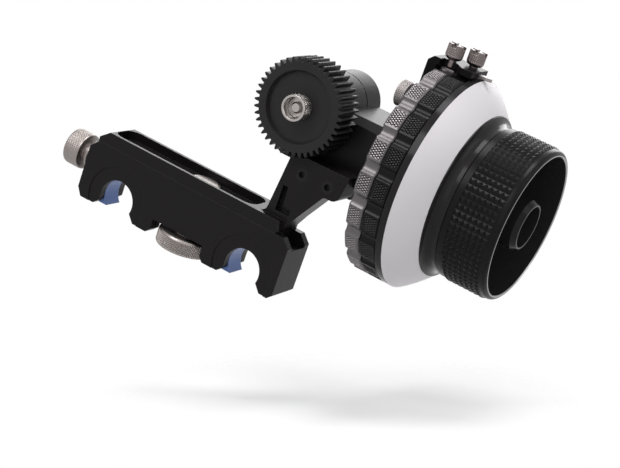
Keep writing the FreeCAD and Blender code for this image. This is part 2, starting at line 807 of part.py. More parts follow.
def build_rail_arm():
    """Slotted rail with its guide tongue and the arm that carries the gearbox."""
    rail = Piece("rail_arm")
    half = "clamp_length / 2"
    rail.pad("Y", "-clamp_length / 2", half, [
        ("-rail_left", "clamp_top"), ("rail_right", "clamp_top"), ("rail_right", RAIL_TOP),
        ("rail_nose - rail_left", RAIL_TOP), ("-rail_left", RAIL_TOP + " - rail_nose * 0.8"),
    ])
    tongue = "(channel_width / 2 - tongue_gap)"
    rail.pad("Y", "-" + tongue, tongue,
             box("slide_left - clamp_left", "channel_floor + tongue_clear",
                 "rail_right", "clamp_top"))
    rail.pad("Y", "-arm_thickness / 2", "arm_thickness / 2", [
        ("arm_foot", RAIL_TOP + " - rail_height / 2"),
        ("arm_foot", RAIL_TOP),
        ("arm_top_left", "arm_top"),
        ("arm_top_right", "arm_top"),
        ("arm_head_right", "arm_head_bottom"),
        ("arm_neck", "arm_head_bottom"),
        ("arm_heel_right", "arm_heel_top"),
        ("rail_right", "clamp_top"),
    ])
    rail.fillet("Y", [("arm_head_right", "arm_head_bottom")], "arm_head_radius")
    rail.fillet("Y", [("arm_neck", "arm_head_bottom")], "arm_neck_radius")
    rail.fillet("Y", [("arm_foot", RAIL_TOP)], "arm_root_radius")
    rail.pocket("Y", "-arm_thickness / 2", "arm_thickness / 2",
                circles=[("drive_across", DRIVE_UP, DRIVE_TIP + " + drive_clear")])
    ends = ("-slide_right - stud_head_radius - slide_end_gap",
            "slide_left + stud_head_radius + slide_end_gap")
    sides = ("-recess_width / 2", "recess_width / 2")
    rail.pocket("Z", RAIL_TOP + " - recess_depth", RAIL_TOP, box(ends[0], sides[0], ends[1], sides[1]))
    rail.fillet("Z", [(end, side) for end in ends for side in sides], "recess_corner")
    slot = "slot_width / 2"
    rail.pocket("Z", "channel_floor + tongue_clear", RAIL_TOP + " - recess_depth", [
        ("-slide_right", "-" + slot), ("slide_left", "-" + slot, slot + " * 1.0001"),
        ("slide_left", slot), ("-slide_right", slot, slot + " * 1.0001"),
    ])
    rail.pocket("Y", "-arm_thickness / 2", "boot_depth - arm_thickness / 2", [
        ("boot_left", "boot_bottom"), ("boot_toe", "boot_bottom"),
        ("boot_toe", "boot_bottom + (boot_instep - boot_bottom) * 0.7"),
        ("boot_ankle", "boot_instep"), ("boot_ankle - boot_depth / 5", "boot_top"),
        ("boot_left", "boot_top"),
    ])
    for across in ("arm_screw_left", "arm_screw_right"):
        rail.pocket("Y", "-arm_thickness / 2", "arm_thickness / 2",
                    circles=[(across, ARM_SCREW_UP, "arm_screw_radius + screw_fit")])
        rail.pocket("Y", "-arm_thickness / 2", "arm_screw_head_length - arm_thickness / 2",
                    circles=[(across, ARM_SCREW_UP, "arm_screw_head + screw_fit")])


def housing_shell(piece, low, high, grooved):
    """The housing's outline: a square section merged with the drive shaft's barrel."""
    piece.pad("Y", low, high, circles=[("drive_across", DRIVE_UP, "housing_radius")])
    if grooved:
        start = "%s + housing_groove_at" % BODY_FRONT
        piece.pocket("Y", start, start + " + housing_groove", circles=[
            ("drive_across", DRIVE_UP, "housing_radius"),
            ("drive_across", DRIVE_UP, "housing_radius - housing_groove"),
        ])
    piece.pad("Y", low, high, [
        (BODY_LEFT, "body_bottom"), ("body_right", "body_bottom"),
        ("body_right", "body_bottom + body_section"),
        ("drive_across", "body_bottom + body_section"), (BODY_LEFT, DRIVE_UP),
    ])
    piece.fillet("Y", [(BODY_LEFT, "body_bottom")], "body_round")


def cover_screw_spots():
    """Places of the rear cover's screws, around the cavity."""
    right = "body_right - wall * 3"
    return [
        (BODY_LEFT + " + left_wall / 2", "body_bottom + body_round * 2"),
        (right, "body_bottom + wall"),
        (right, "body_bottom + body_section - wall"),
        ("cavity_right + wall", "body_bottom + body_section - wall"),
    ]


def build_gearbox_body():
    """Front shell of the gearbox with bearing seats, foot and screw holes."""
    body = Piece("gearbox_body")
    front = BODY_FRONT
    inside = front + " + wall"
    housing_shell(body, front, SHELL_BACK, True)
    body.pad("Y", front, front + " + foot_depth",
             box("foot_left", "arm_head_bottom + foot_inset", "foot_right",
                 "body_bottom + body_edge"))
    top = "body_bottom + body_section"
    body.chamfer("X", [(front, top)], "body_edge")
    body.pocket("Y", inside, SHELL_BACK, circles=[("drive_across", DRIVE_UP, "drive_room")])
    body.pocket("Y", inside, SHELL_BACK,
                box(BODY_LEFT + " + left_wall", "body_bottom + wall", "cavity_right", top + " - wall"))
    body.pocket("Y", front, inside, circles=[("drive_across", DRIVE_UP, "drive_bearing_radius")])
    body.pocket("Y", inside + " - counter_bearing_width", inside,
                circles=[("drive_across", WHEEL_UP, "counter_bearing_radius")])
    body.pocket("X", "cavity_right", "body_right",
                circles=[(WHEEL_BACK, WHEEL_UP, "wheel_shaft_radius + shaft_room")])
    body.pocket("X", "cavity_right", "cavity_right + wheel_bearing_width",
                circles=[(WHEEL_BACK, WHEEL_UP, "inner_bearing_radius")])
    for across in ("arm_screw_left", "arm_screw_right"):
        body.pocket("Y", front, front + " + arm_screw_length - arm_thickness",
                    circles=[(across, ARM_SCREW_UP, "arm_screw_radius + screw_fit")])
    for across, up in cover_screw_spots():
        body.pocket("Y", SHELL_BACK + " - wall * 2", SHELL_BACK,
                    circles=[(across, up, "small_screw_radius + screw_fit")])
    for back in ("-1", "1"):
        for rise in ("-1", "1"):
            body.pocket("X", "body_right - wall * 2", "body_right", circles=[
                ("%s + %s * carrier_screw_offset" % (WHEEL_BACK, back),
                 "%s + %s * carrier_screw_offset" % (WHEEL_UP, rise),
                 "small_screw_radius + screw_fit")])


def cap_screw_spots(station):
    """Places of the three cap screws about the drive shaft."""
    reach = "(drive_bearing_radius + housing_radius) / 2 + small_screw_radius"
    return [
        ("drive_across + (%s) * cos(%d)" % (reach, angle), station,
         DRIVE_UP + " + (%s) * sin(%d)" % (reach, angle))
        for angle in (90, 210, 330)
    ]


def build_gearbox_back():
    """Rear cover with its countershaft boss, and the cap over the drive shaft."""
    cover = Piece("gearbox_rear_cover")
    housing_shell(cover, SHELL_BACK, BODY_BACK, False)
    boss = SHELL_BACK + " - counter_boss"
    cover.pad("Y", boss, SHELL_BACK, circles=[("drive_across", WHEEL_UP, "counter_boss_radius")])
    cover.pocket("Y", boss, boss + " + counter_bearing_width",
                 circles=[("drive_across", WHEEL_UP, "counter_bearing_radius")])
    cover.pocket("Y", SHELL_BACK, BODY_BACK,
                 circles=[("drive_across", DRIVE_UP, "drive_shaft_radius + shaft_room")])
    head = "small_screw_head + screw_fit"
    shank = "small_screw_radius + screw_fit"
    for across, up in cover_screw_spots():
        cover.pocket("Y", SHELL_BACK, BODY_BACK, circles=[(across, up, shank)])
        cover.pocket("Y", BODY_BACK + " - small_screw_head_length", BODY_BACK,
                     circles=[(across, up, head)])
    cap_back = "(%s + cap_length)" % BODY_BACK
    cap = turned("shaft_cap", "+Y", ("drive_across", BODY_BACK, DRIVE_UP), [
        ("0", "drive_bearing_width"), ("drive_bearing_radius", "drive_bearing_width"),
        ("drive_bearing_radius", "0"), ("housing_radius", "0"),
        ("housing_radius", "cap_length - grip_edge"), ("housing_radius - grip_edge", "cap_length"),
        ("0", "cap_length"),
    ])
    for spot in cap_screw_spots(cap_back):
        local = (spot[0] + " - drive_across", "-(%s - %s)" % (spot[2], DRIVE_UP))
        cap.pocket("Z", "0", "cap_length", circles=[(*local, shank)])
        cap.pocket("Z", "cap_length - small_screw_head_length", "cap_length",
                   circles=[(*local, head)])
        cover.pocket("Y", SHELL_BACK, BODY_BACK, circles=[(spot[0], spot[2], shank)])
    screws("cover_screws", "-Y", [(across, BODY_BACK, up) for across, up in cover_screw_spots()],
           "small_screw_head", "small_screw_head_length", "small_screw_radius",
           "cover_thickness + wall * 2 - screw_fit")
    screws("cap_screws", "-Y", cap_screw_spots(cap_back), "small_screw_head",
           "small_screw_head_length", "small_screw_radius",
           "cap_length + cover_thickness - screw_fit * 2")


def build_arm_screws():
    spots = [(across, "-arm_thickness / 2", ARM_SCREW_UP)
             for across in ("arm_screw_left", "arm_screw_right")]
    screws("arm_screws", "+Y", spots, "arm_screw_head", "arm_screw_head_length",
           "arm_screw_radius", "arm_screw_length - screw_fit * 2", "arm_screw_head * 0.55")


# --- Drive train ---------------------------------------------------------------

def build_drive():
    """Drive gear with its shaft, nut, pinion and bearings."""
    back = "(%s - drive_gap)" % BODY_FRONT
    front = "(%s - drive_width)" % back
    spur_front = "(%s + wall + screw_fit * 6)" % BODY_FRONT
    axis = ("drive_across", "0", DRIVE_UP)
    end = "(%s + drive_bearing_width - jaw_play)" % BODY_BACK
    turned("drive_shaft", "+Y", axis, [
        ("0", front + " + dish_depth - nut_stand"),
        ("drive_shaft_radius * 0.6", front + " + dish_depth - nut_stand"),
        ("drive_shaft_radius * 0.85", front + " + dish_depth - nut_stand * 0.8"),
        ("drive_shaft_radius * 0.85", front + " + dish_depth"),
        ("drive_shaft_radius", front + " + dish_depth"),
        ("drive_shaft_radius", back),
        ("drive_flange_radius", back),
        ("drive_flange_radius", BODY_FRONT + " - sleeve_end_gap"),
        ("drive_shaft_radius", BODY_FRONT + " - sleeve_end_gap"),
        ("drive_shaft_radius", end),
        ("0", end),
    ])
    gear = toothed_blank("drive_gear_blank", "+Y", ("drive_across", front, DRIVE_UP),
                         "drive_teeth", "drive_module", "drive_width", 0)
    dish = document.addObject("Part::Cone", "dish")
    place(dish, "+Y", ("drive_across", front, DRIVE_UP))
    bind(dish, {"Radius1": "dish_radius", "Radius2": "dish_radius - dish_depth / 2",
                "Height": "dish_depth"})
    cut_from("drive_gear", gear, dish,
             cylinder("+Y", ("drive_across", front, DRIVE_UP), "drive_shaft_radius", "drive_width"))
    turned("gear_nut", "+Y", ("drive_across", NUT_FRONT, DRIVE_UP), [
        ("nut_radius - nut_wall", "0"),
        ("nut_radius - grip_edge / 2", "0"),
        ("nut_radius", "grip_edge / 2"),
        ("nut_radius", "nut_stand + dish_depth"),
        ("drive_shaft_radius * 0.85", "nut_stand + dish_depth"),
        ("drive_shaft_radius * 0.85", "nut_stand"),
        ("nut_radius - nut_wall", "nut_stand"),
    ])
    pinion = toothed_blank("drive_pinion_blank", "+Y", ("drive_across", spur_front, DRIVE_UP),
                           "spur_teeth", "spur_module", "spur_width",
                           math.pi / 2 + math.pi / number("spur_teeth"))
    cut_from("drive_pinion", pinion, cylinder("+Y", ("drive_across", spur_front, DRIVE_UP),
                                              "drive_shaft_radius", "spur_width"))
    bore = "drive_shaft_radius + running_fit"
    bearing("drive_bearing_front", "+Y",
            ("drive_across", BODY_FRONT + " + wall - drive_bearing_width", DRIVE_UP),
            bore, "drive_bearing_radius", "drive_bearing_width")
    bearing("drive_bearing_rear", "+Y", ("drive_across", BODY_BACK, DRIVE_UP),
            bore, "drive_bearing_radius", "drive_bearing_width")


def build_counter():
    """Countershaft with the spur gear in front and the bevel gear behind the wheel axis."""
    spur_front = "(%s + wall + screw_fit * 6)" % BODY_FRONT
    start = "(%s + wall - counter_bearing_width + jaw_play)" % BODY_FRONT
    end = "(%s - counter_boss + counter_bearing_width - jaw_play)" % SHELL_BACK
    turned("counter_shaft", "+Y", ("drive_across", "0", WHEEL_UP), [
        ("0", start), ("counter_shaft_radius", start), ("counter_shaft_radius", end), ("0", end),
    ])
    spot = ("drive_across", spur_front, WHEEL_UP)
    spur = toothed_blank("counter_spur_blank", "+Y", spot,
                         "spur_teeth", "spur_module", "spur_width", -math.pi / 2)
    cut_from("counter_spur", spur, cylinder("+Y", spot, "counter_shaft_radius", "spur_width"))
    large = ("drive_across", WHEEL_BACK + " + " + BEVEL_REACH, WHEEL_UP)
    bevel = document.addObject("Part::Fuse", "counter_bevel_hub")
    bevel.Base = bevel_blank("counter_bevel_blank", "-Y", large,
                             math.pi / number("bevel_teeth"))
    bevel.Tool = cylinder("+Y", large, "bevel_hub_radius", "counter_hub_length")
    cut_from("counter_bevel", bevel,
             cylinder("-Y", ahead(large, "+Y", "counter_hub_length"), "counter_shaft_radius",
                      "counter_hub_length + bevel_face"))
    bore = "counter_shaft_radius + running_fit"
    for label, station in (
        ("counter_bearing_front", BODY_FRONT + " + wall - counter_bearing_width"),
        ("counter_bearing_rear", SHELL_BACK + " - counter_boss"),
    ):
        bearing(label, "+Y", ("drive_across", station, WHEEL_UP),
                bore, "counter_bearing_radius", "counter_bearing_width")


def build_wheel_shaft():
    """Handwheel shaft with its bevel gear and its two bearings."""
    start = "(drive_across + %s - bevel_face + jaw_play)" % BEVEL_REACH
    step = "(drive_across + %s + wheel_hub_length)" % BEVEL_REACH
    axis = ("0", WHEEL_BACK, WHEEL_UP)
    bore = "hub_screw_radius"
    turned("wheel_shaft", "+X", axis, [
        ("0", start), ("bevel_shaft_radius", start), ("bevel_shaft_radius", step),
        ("wheel_shaft_radius", step), ("wheel_shaft_radius", SOCKET_FLOOR), (bore, SOCKET_FLOOR),
        (bore, SOCKET_FLOOR + " - hub_screw_length"), ("0", SOCKET_FLOOR + " - hub_screw_length"),
    ])
    large = ("drive_across + " + BEVEL_REACH, WHEEL_BACK, WHEEL_UP)
    bevel = document.addObject("Part::Fuse", "wheel_bevel_hub")
    bevel.Base = bevel_blank("wheel_bevel_blank", "-X", large, math.pi / 2)
    bevel.Tool = cylinder("+X", large, "bevel_hub_radius", "wheel_hub_length")
    cut_from("wheel_bevel", bevel,
             cylinder("-X", ahead(large, "+X", "wheel_hub_length"), "bevel_shaft_radius",
                      "wheel_hub_length + bevel_face"))
    bore = "wheel_shaft_radius + running_fit"
    bearing("wheel_bearing_inner", "+X", ("cavity_right", WHEEL_BACK, WHEEL_UP),
            bore, "inner_bearing_radius", "wheel_bearing_width")
    outer = RING_B_FRONT + " - sleeve_end_gap / 2 - wheel_bearing_width"
    bearing("wheel_bearing_outer", "+X", (outer, WHEEL_BACK, WHEEL_UP),
            bore, "outer_bearing_radius", "wheel_bearing_width")


# --- Stop carrier and rings ----------------------------------------------------

def build_stop_carrier():
    """Flange with the sleeve that both rings turn on, and the ear for the bracket."""
    sleeve_end = "(%s - sleeve_end_gap / 2)" % RING_B_FRONT
    seat = "(%s - wheel_bearing_width)" % sleeve_end
    room = "wheel_shaft_radius + shaft_room"
    groove = "(%s - retainer_seat)" % RING_B_FRONT
    neck = "sleeve_radius - retainer_bite"
    carrier = turned("stop_carrier", "+X", ("0", WHEEL_BACK, WHEEL_UP), [
        (room, "body_right"), ("carrier_radius", "body_right"),
        ("carrier_radius", CARRIER_FRONT), ("sleeve_radius", CARRIER_FRONT),
        ("sleeve_radius", groove), (neck, groove), (neck, groove + " + retainer_thickness"),
        ("sleeve_radius", groove + " + retainer_thickness"), ("sleeve_radius", sleeve_end),
        ("outer_bearing_radius", sleeve_end), ("outer_bearing_radius", seat), (room, seat),
    ])
    rise = "(carrier_radius + leg_foot_clear + leg_below_thumb)"
    back = "body_right - ear_thickness"
    carrier.pad("Z", back, "body_right + carrier_thickness / 2", [
        ("-body_section / 2", "-ear_radius"), ("-body_section / 2", "ear_radius"),
        ("-carrier_radius * 0.9", "ear_radius"), ("-carrier_radius * 0.9", "-ear_radius"),
    ])
    carrier.pad("Z", back, "body_right", [
        ("-body_section / 2", "-ear_radius"), ("-body_section / 2", "ear_radius"),
        ("-" + rise, "ear_radius"), ("-" + rise, "-ear_radius"),
    ])
    carrier.pad("Z", back, "body_right", circles=[("-" + rise, "0", "ear_radius")])
    carrier.pocket("Z", back, "body_right",
                   circles=[("-" + rise, "0", "thumb_stem_radius + running_fit")])
    places = []
    for across in ("-carrier_screw_offset", "carrier_screw_offset"):
        for up in ("-carrier_screw_offset", "carrier_screw_offset"):
            carrier.pocket("Z", "body_right", CARRIER_FRONT,
                           circles=[(across, up, "small_screw_radius + screw_fit")])
            carrier.pocket("Z", CARRIER_FRONT + " - small_screw_head_length", CARRIER_FRONT,
                           circles=[(across, up, "small_screw_head + screw_fit")])
            places.append((CARRIER_FRONT, WHEEL_BACK + " + " + up, WHEEL_UP + " + " + across))
    screws("carrier_screws", "-X", places, "small_screw_head", "small_screw_head_length",
           "small_screw_radius", "carrier_thickness + wall * 2 - screw_fit")
    inner = "sleeve_radius + ring_bore_fit"
    turned("thrust_washer", "+X", (CARRIER_FRONT, WHEEL_BACK, WHEEL_UP), [
        (inner, "0"), ("washer_radius", "0"),
        ("washer_radius", "washer_thickness"), (inner, "washer_thickness"),
    ])
    turned("ring_retainer", "+X", (groove, WHEEL_BACK, WHEEL_UP), [
        (neck, "0"), ("retainer_radius", "0"),
        ("retainer_radius", "retainer_thickness"), (neck, "retainer_thickness"),
    ])


def build_stop_ring(label, back, width, angle, seat):
    """Stop ring with a webbed bore and scallops between its finger pads.

    A ring with a seat has its bore's front face sunk by that much for the retainer.
    """
    bore = "sleeve_radius + ring_bore_fit"
    outline = [
        (bore, "0"), ("washer_radius", "0"), ("washer_radius", "ring_relief"),
        ("ring_rim_inner", "ring_relief"), ("ring_rim_inner", "0"),
        ("ring_radius - ring_edge", "0"), ("ring_radius", "ring_edge"),
        ("ring_radius", width + " - ring_edge"), ("ring_radius - ring_edge", width),
    ]
    if seat:
        sunk = "%s - %s" % (width, seat)
        outline += [("retainer_radius + ring_edge", width), ("retainer_radius + ring_edge", sunk),
                    (bore, sunk)]
    else:
        outline.append((bore, width))
    ring = turned(label, "+X", (back, WHEEL_BACK, WHEEL_UP), outline)
    # Local -X is up and local -Y is the front, so a pad's angle runs from the top forwards.
    turn = "(%s + 180 / ring_pads)" % angle
    reach = "(ring_radius - scallop_depth + scallop_radius)"
    scallop = ring.pocket("Z", "0", width, circles=[
        ("-%s * cos(%s)" % (reach, turn), "-%s * sin(%s)" % (reach, turn), "scallop_radius")])
    ring.repeat_round([scallop], "ring_pads")


def build_bracket():
    """Bracket over the rings with its lock screws, thumbscrew and pointer."""
    bracket = Piece("top_bracket")
    leg_right = "(body_right + leg_thickness)"
    shoulder = LEG_FOOT + " + leg_taper_length"
    bracket.pad("X", "body_right", leg_right, [
        (BRACKET_FRONT, PLATE_TOP), (BRACKET_FRONT, shoulder),
        (BRACKET_FRONT + " + leg_taper", LEG_FOOT), (BRACKET_BACK + " - leg_taper", LEG_FOOT),
        (BRACKET_BACK, shoulder), (BRACKET_BACK, PLATE_TOP),
    ])
    notch = (LOCK_A[0] + " - notch_before", LOCK_A[0] + " + notch_after")
    bracket.pad("Z", PLATE_BOTTOM, PLATE_TOP, [
        ("body_right", BRACKET_FRONT), (notch[0], BRACKET_FRONT),
        (notch[0], BRACKET_FRONT + " + notch_depth"),
        (notch[1] + " - notch_depth", BRACKET_FRONT + " + notch_depth"),
        (notch[1], BRACKET_FRONT), (BRACKET_END, BRACKET_FRONT),
        (BRACKET_END, BRACKET_BACK), ("body_right", BRACKET_BACK),
    ])
    bracket.chamfer("Y", [("body_right", PLATE_TOP)], "bracket_corner")
    for across, back in (LOCK_A, LOCK_B):
        bracket.pocket("Z", PLATE_BOTTOM, PLATE_TOP,
                       circles=[(across, back, "lock_stem_radius + running_fit")])
    bracket.pocket("X", "body_right", leg_right,
                   circles=[(WHEEL_BACK, THUMB_UP, "thumb_stem_radius + running_fit")])
    tip = "(%s + ring_radius + lock_tip_gap)" % WHEEL_UP
    head = "(%s + lock_head_clear)" % PLATE_TOP
    top = "(%s + lock_head_clear + lock_head_height)" % PLATE_TOP
    for label, (across, back) in (("lock_screw_a", LOCK_A), ("lock_screw_b", LOCK_B)):
        lock = turned(label, "+Z", (across, back, "0"), [
            ("0", tip), ("lock_stem_radius - ring_edge", tip),
            ("lock_stem_radius", tip + " + ring_edge"),
            ("lock_stem_radius", head),
            ("lock_head_radius - lock_head_round", head, "lock_head_round"),
            ("lock_head_radius", head + " + lock_head_round"),
            ("lock_head_radius", top), ("0", top),
        ])
        slot = ("castle_slot / 2", "lock_head_radius")
        for low, high in ((slot, slot[::-1]), (slot[::-1], slot)):
            lock.pocket("Z", top + " - castle_depth", top,
                        box("-" + low[0], "-" + high[0], low[0], high[0]))
    face = "(thumb_head_length + thumb_neck_length)"
    spot = ("body_right - ear_thickness - " + face, WHEEL_BACK, THUMB_UP)
    end = face + " + ear_thickness + leg_thickness - screw_fit"
    turned("bracket_thumbscrew", "+X", spot, [
        ("0", "0"), ("thumb_head_radius - grip_edge", "0"), ("thumb_head_radius", "grip_edge"),
        ("thumb_head_radius", "thumb_head_length"), ("thumb_neck_radius", "thumb_head_length"),
        ("thumb_neck_radius", face), ("thumb_stem_radius", face), ("thumb_stem_radius", end),
        ("0", end),
    ])
    half = "pointer_width / 2"
    pointer = Piece("index_pointer")
    low = PLATE_BOTTOM + " + bracket_gap"
    pointer.pad("Z", low, low + " + pointer_thickness", [
        (BRACKET_END, WHEEL_BACK + " - " + half),
        (BRACKET_END + " + pointer_length * 0.6", WHEEL_BACK + " - " + half),
        (BRACKET_END + " + pointer_length", WHEEL_BACK),
        (BRACKET_END + " + pointer_length * 0.6", WHEEL_BACK + " + " + half),
        (BRACKET_END, WHEEL_BACK + " + " + half),
    ])


# --- Handwheel -----------------------------------------------------------------

def build_handwheel():
    """Hub with dish and socket boss, marking disc, collar, grip, insert and screw."""
    axis = ("0", WHEEL_BACK, WHEEL_UP)
    floor = "(%s - dish_floor)" % GRIP_FRONT
    turned("wheel_hub", "+X", axis, [
        ("wheel_shaft_radius", HUB_BACK),
        ("hub_relief_inner", HUB_BACK),
        ("hub_relief_inner", HUB_BACK + " + hub_relief_depth"),
        ("hub_relief_outer", HUB_BACK + " + hub_relief_depth"),
        ("hub_relief_outer", HUB_BACK),
        ("ring_radius", HUB_BACK),
        ("ring_radius", DISC_BACK),
        ("hub_radius", DISC_BACK),
        ("hub_radius", GRIP_BACK),
        ("drum_radius", GRIP_BACK),
        ("drum_radius", floor),
        ("boss_radius", floor),
        ("boss_radius", GRIP_FRONT + " - boss_taper_length"),
        ("boss_radius - boss_taper", GRIP_FRONT),
        ("socket_radius", GRIP_FRONT),
        ("socket_radius", SOCKET_FLOOR),
        ("wheel_shaft_radius", SOCKET_FLOOR),
    ])
    bore = "hub_radius + disc_fit"
    turned("marking_disc", "+X", (DISC_BACK, WHEEL_BACK, WHEEL_UP), [
        (bore, "0"), ("ring_radius", "0", "disc_bulge"),
        ("hub_radius + disc_front_step", "disc_length"), (bore, "disc_length"),
    ])
    # The cove bulges inwards, so this outline runs the other way round.
    rim = "hub_radius + collar_step"
    neck = "hub_radius + collar_neck_step"
    turned("disc_collar", "+X", (COLLAR_BACK, WHEEL_BACK, WHEEL_UP), [
        ("hub_radius", "0"), ("hub_radius", "collar_length"), (neck, "collar_length"),
        (neck, "collar_length - collar_neck_length", "collar_cove"),
        (rim, "collar_lip"), (rim, "0"),
    ])
    lip = "grip_radius - grip_lip_step"
    turned("grip", "+X", (GRIP_BACK, WHEEL_BACK, WHEEL_UP), [
        ("drum_radius", "0"), (lip + " - grip_edge", "0"), (lip, "grip_edge"),
        (lip, "grip_back_band"), ("grip_radius", "grip_back_band"),
        ("grip_radius", "grip_length - grip_front_band"),
        (lip, "grip_length - grip_front_band"),
        (lip, "grip_length - grip_nose", "grip_nose_radius"),
        ("drum_radius + grip_edge / 2", "grip_length"),
        ("drum_radius", "grip_length - grip_edge / 2"),
    ])
    insert = turned("socket_insert", "+X", (SOCKET_FLOOR, WHEEL_BACK, WHEEL_UP), [
        ("0", "0"), ("socket_radius", "0"), ("socket_radius", "insert_length"),
        ("0", "insert_length"),
    ])
    half = "insert_square / 2"
    insert.pocket("Z", "0", "insert_length", box("-" + half, "-" + half, half, half))
    screws("hub_screw", "-X", [(SOCKET_FLOOR + " + hub_screw_head_length", WHEEL_BACK, WHEEL_UP)],
           "hub_screw_head", "hub_screw_head_length", "hub_screw_radius",
           "hub_screw_head_length + hub_screw_length - screw_fit", "hub_screw_head * 0.55")


def build_all():
    build_clamp_block()
    build_jaws()
    build_side_thumbscrew()
    build_lock()
    build_rail_arm()
    build_gearbox_body()
    build_gearbox_back()
    build_arm_screws()
    build_drive()
    build_counter()
    build_wheel_shaft()
    build_stop_carrier()
    build_stop_ring("stop_ring_a", RING_A_BACK, "ring_a_width", "pad_angle_a", None)
    build_stop_ring("stop_ring_b", RING_B_BACK, "ring_b_width", "pad_angle_b", "retainer_seat")
    build_bracket()
    build_handwheel()


def check_and_write():
    """Refuse a failed object or an empty shape, then write each sub-part."""
    document.recompute()
    for thing in document.Objects:
        if "Invalid" in thing.State or "Error" in thing.State:
            raise RuntimeError("%s failed: %s" % (thing.Label, thing.State))
    for thing in SUB_PARTS:
        if thing.Shape.isNull() or not thing.Shape.isValid() or thing.Shape.Volume <= 0:
            raise RuntimeError("%s has no valid shape" % thing.Label)
    os.makedirs("parts", exist_ok=True)
    for thing in SUB_PARTS:
        thing.Shape.exportStep(os.path.join("parts", thing.Label + ".step"))


build_all()
check_and_write()
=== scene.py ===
"""Looks of a follow focus unit: knurled and scalloped pieces, finishes, light and camera.

Every length in the size classes is in millimetres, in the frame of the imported
solids: X across the two rods towards the handwheel, Y along the rods, Z up.
"""

import logging
import math
from collections.abc import Sequence
from dataclasses import dataclass
from enum import Enum
from typing import Any, ClassVar

import bpy
import numpy as np
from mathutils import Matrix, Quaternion, Vector


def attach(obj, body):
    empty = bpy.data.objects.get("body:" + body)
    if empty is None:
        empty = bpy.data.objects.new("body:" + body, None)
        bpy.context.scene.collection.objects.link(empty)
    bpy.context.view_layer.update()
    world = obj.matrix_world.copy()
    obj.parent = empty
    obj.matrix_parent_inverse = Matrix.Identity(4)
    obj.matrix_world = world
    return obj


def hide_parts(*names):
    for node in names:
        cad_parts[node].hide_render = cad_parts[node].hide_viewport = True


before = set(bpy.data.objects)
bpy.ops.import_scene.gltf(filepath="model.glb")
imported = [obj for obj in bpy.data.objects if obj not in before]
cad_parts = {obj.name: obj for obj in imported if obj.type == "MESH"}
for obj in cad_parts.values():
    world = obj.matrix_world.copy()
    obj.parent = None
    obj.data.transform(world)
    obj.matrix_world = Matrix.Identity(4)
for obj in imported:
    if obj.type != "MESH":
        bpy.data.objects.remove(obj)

LOG = logging.getLogger("follow_focus")
MM = 0.001

Profile = Sequence[tuple[float, float]]
Color = tuple[float, float, float]
Spot = tuple[float, float, float]

# Places and sizes that finishes and pieces share. An axis is given by its two
# coordinates across it, in the order of the frame.
WHEEL_AXIS = (17.5, 55.3)
SIDE_AXIS = (0.0, 9.0)
BRACKET_AXIS = (17.5, 79.7)
DRIVE_AXIS = (31.2, 65.3)
KNOB_AXIS = (0.0, 0.0)
LOCKS_MIDDLE = (73.7, 17.0)
RING_RADIUS = 40.5
RING_PADS = 20
PAD_ANGLE_A = 0.3
PAD_ANGLE_B = 0.7

# The radius of a turned outline where it meets its axis, so that rings keep a size.
CORE = 0.02
# How near to a surface a vertex has to be to lie on it.
TOUCH = 0.01
# How near two vertices have to be to become one, in metres.
MERGE = 1e-6


class Along(Enum):
    """The direction that a turned piece's own Z axis takes in the frame."""

    X = (0.0, math.pi / 2, 0.0)
    Y = (-math.pi / 2, 0.0, 0.0)
    Z = (0.0, 0.0, 0.0)


# --- Shader graphs ---


class Signal:
    """A shader socket that Python operators can do maths on."""

    def __init__(self, graph: "Graph", socket: bpy.types.NodeSocket) -> None:
        """Wrap an output socket of a graph."""
        self.graph = graph
        self.socket = socket

    def math(self, operation: str, other: "Signal | float", swap: bool = False) -> "Signal":
        """Add a Math node.

        Args:
            operation: the Math node's operation.
            other: the second value.
            swap: whether the second value comes first.

        Returns:
            The node's result.
        """
        pair = (other, self) if swap else (self, other)
        return self.graph.add("ShaderNodeMath", {"operation": operation}, {0: pair[0], 1: pair[1]})

    def __add__(self, other: "Signal | float") -> "Signal":
        """Sum of two values."""
        return self.math("ADD", other)

    __radd__ = __add__

    def __sub__(self, other: "Signal | float") -> "Signal":
        """Difference of two values."""
        return self.math("SUBTRACT", other)

    def __rsub__(self, other: float) -> "Signal":
        """Difference with the number first."""
        return self.math("SUBTRACT", other, swap=True)

    def __mul__(self, other: "Signal | float") -> "Signal":
        """Product of two values."""
        return self.math("MULTIPLY", other)

    __rmul__ = __mul__

    def __truediv__(self, other: "Signal | float") -> "Signal":
        """Quotient of two values."""
        return self.math("DIVIDE", other)

    def __rtruediv__(self, other: float) -> "Signal":
        """Quotient with the number first."""
        return self.math("DIVIDE", other, swap=True)

    def __pow__(self, other: "Signal | float") -> "Signal":
        """Power of a value."""
        return self.math("POWER", other)

    def __rpow__(self, other: float) -> "Signal":
        """Power with the number first."""
        return self.math("POWER", other, swap=True)

    def sine(self) -> "Signal":
        """Sine of a value in radians."""
        return self.math("SINE", 0.0)

    def cosine(self) -> "Signal":
        """Cosine of a value in radians."""
        return self.math("COSINE", 0.0)

    def above(self, limit: float) -> "Signal":
        """1 where the value is greater than a limit, or else 0."""
        return self.math("GREATER_THAN", limit)

    def clamp(self) -> "Signal":
        """The value held between 0 and 1."""
        return self.graph.add("ShaderNodeClamp", {}, {"Value": self})

    def beside(self, result: str | int) -> "Signal":
        """Another output of the same node."""
        return Signal(self.graph, self.socket.node.outputs[result])


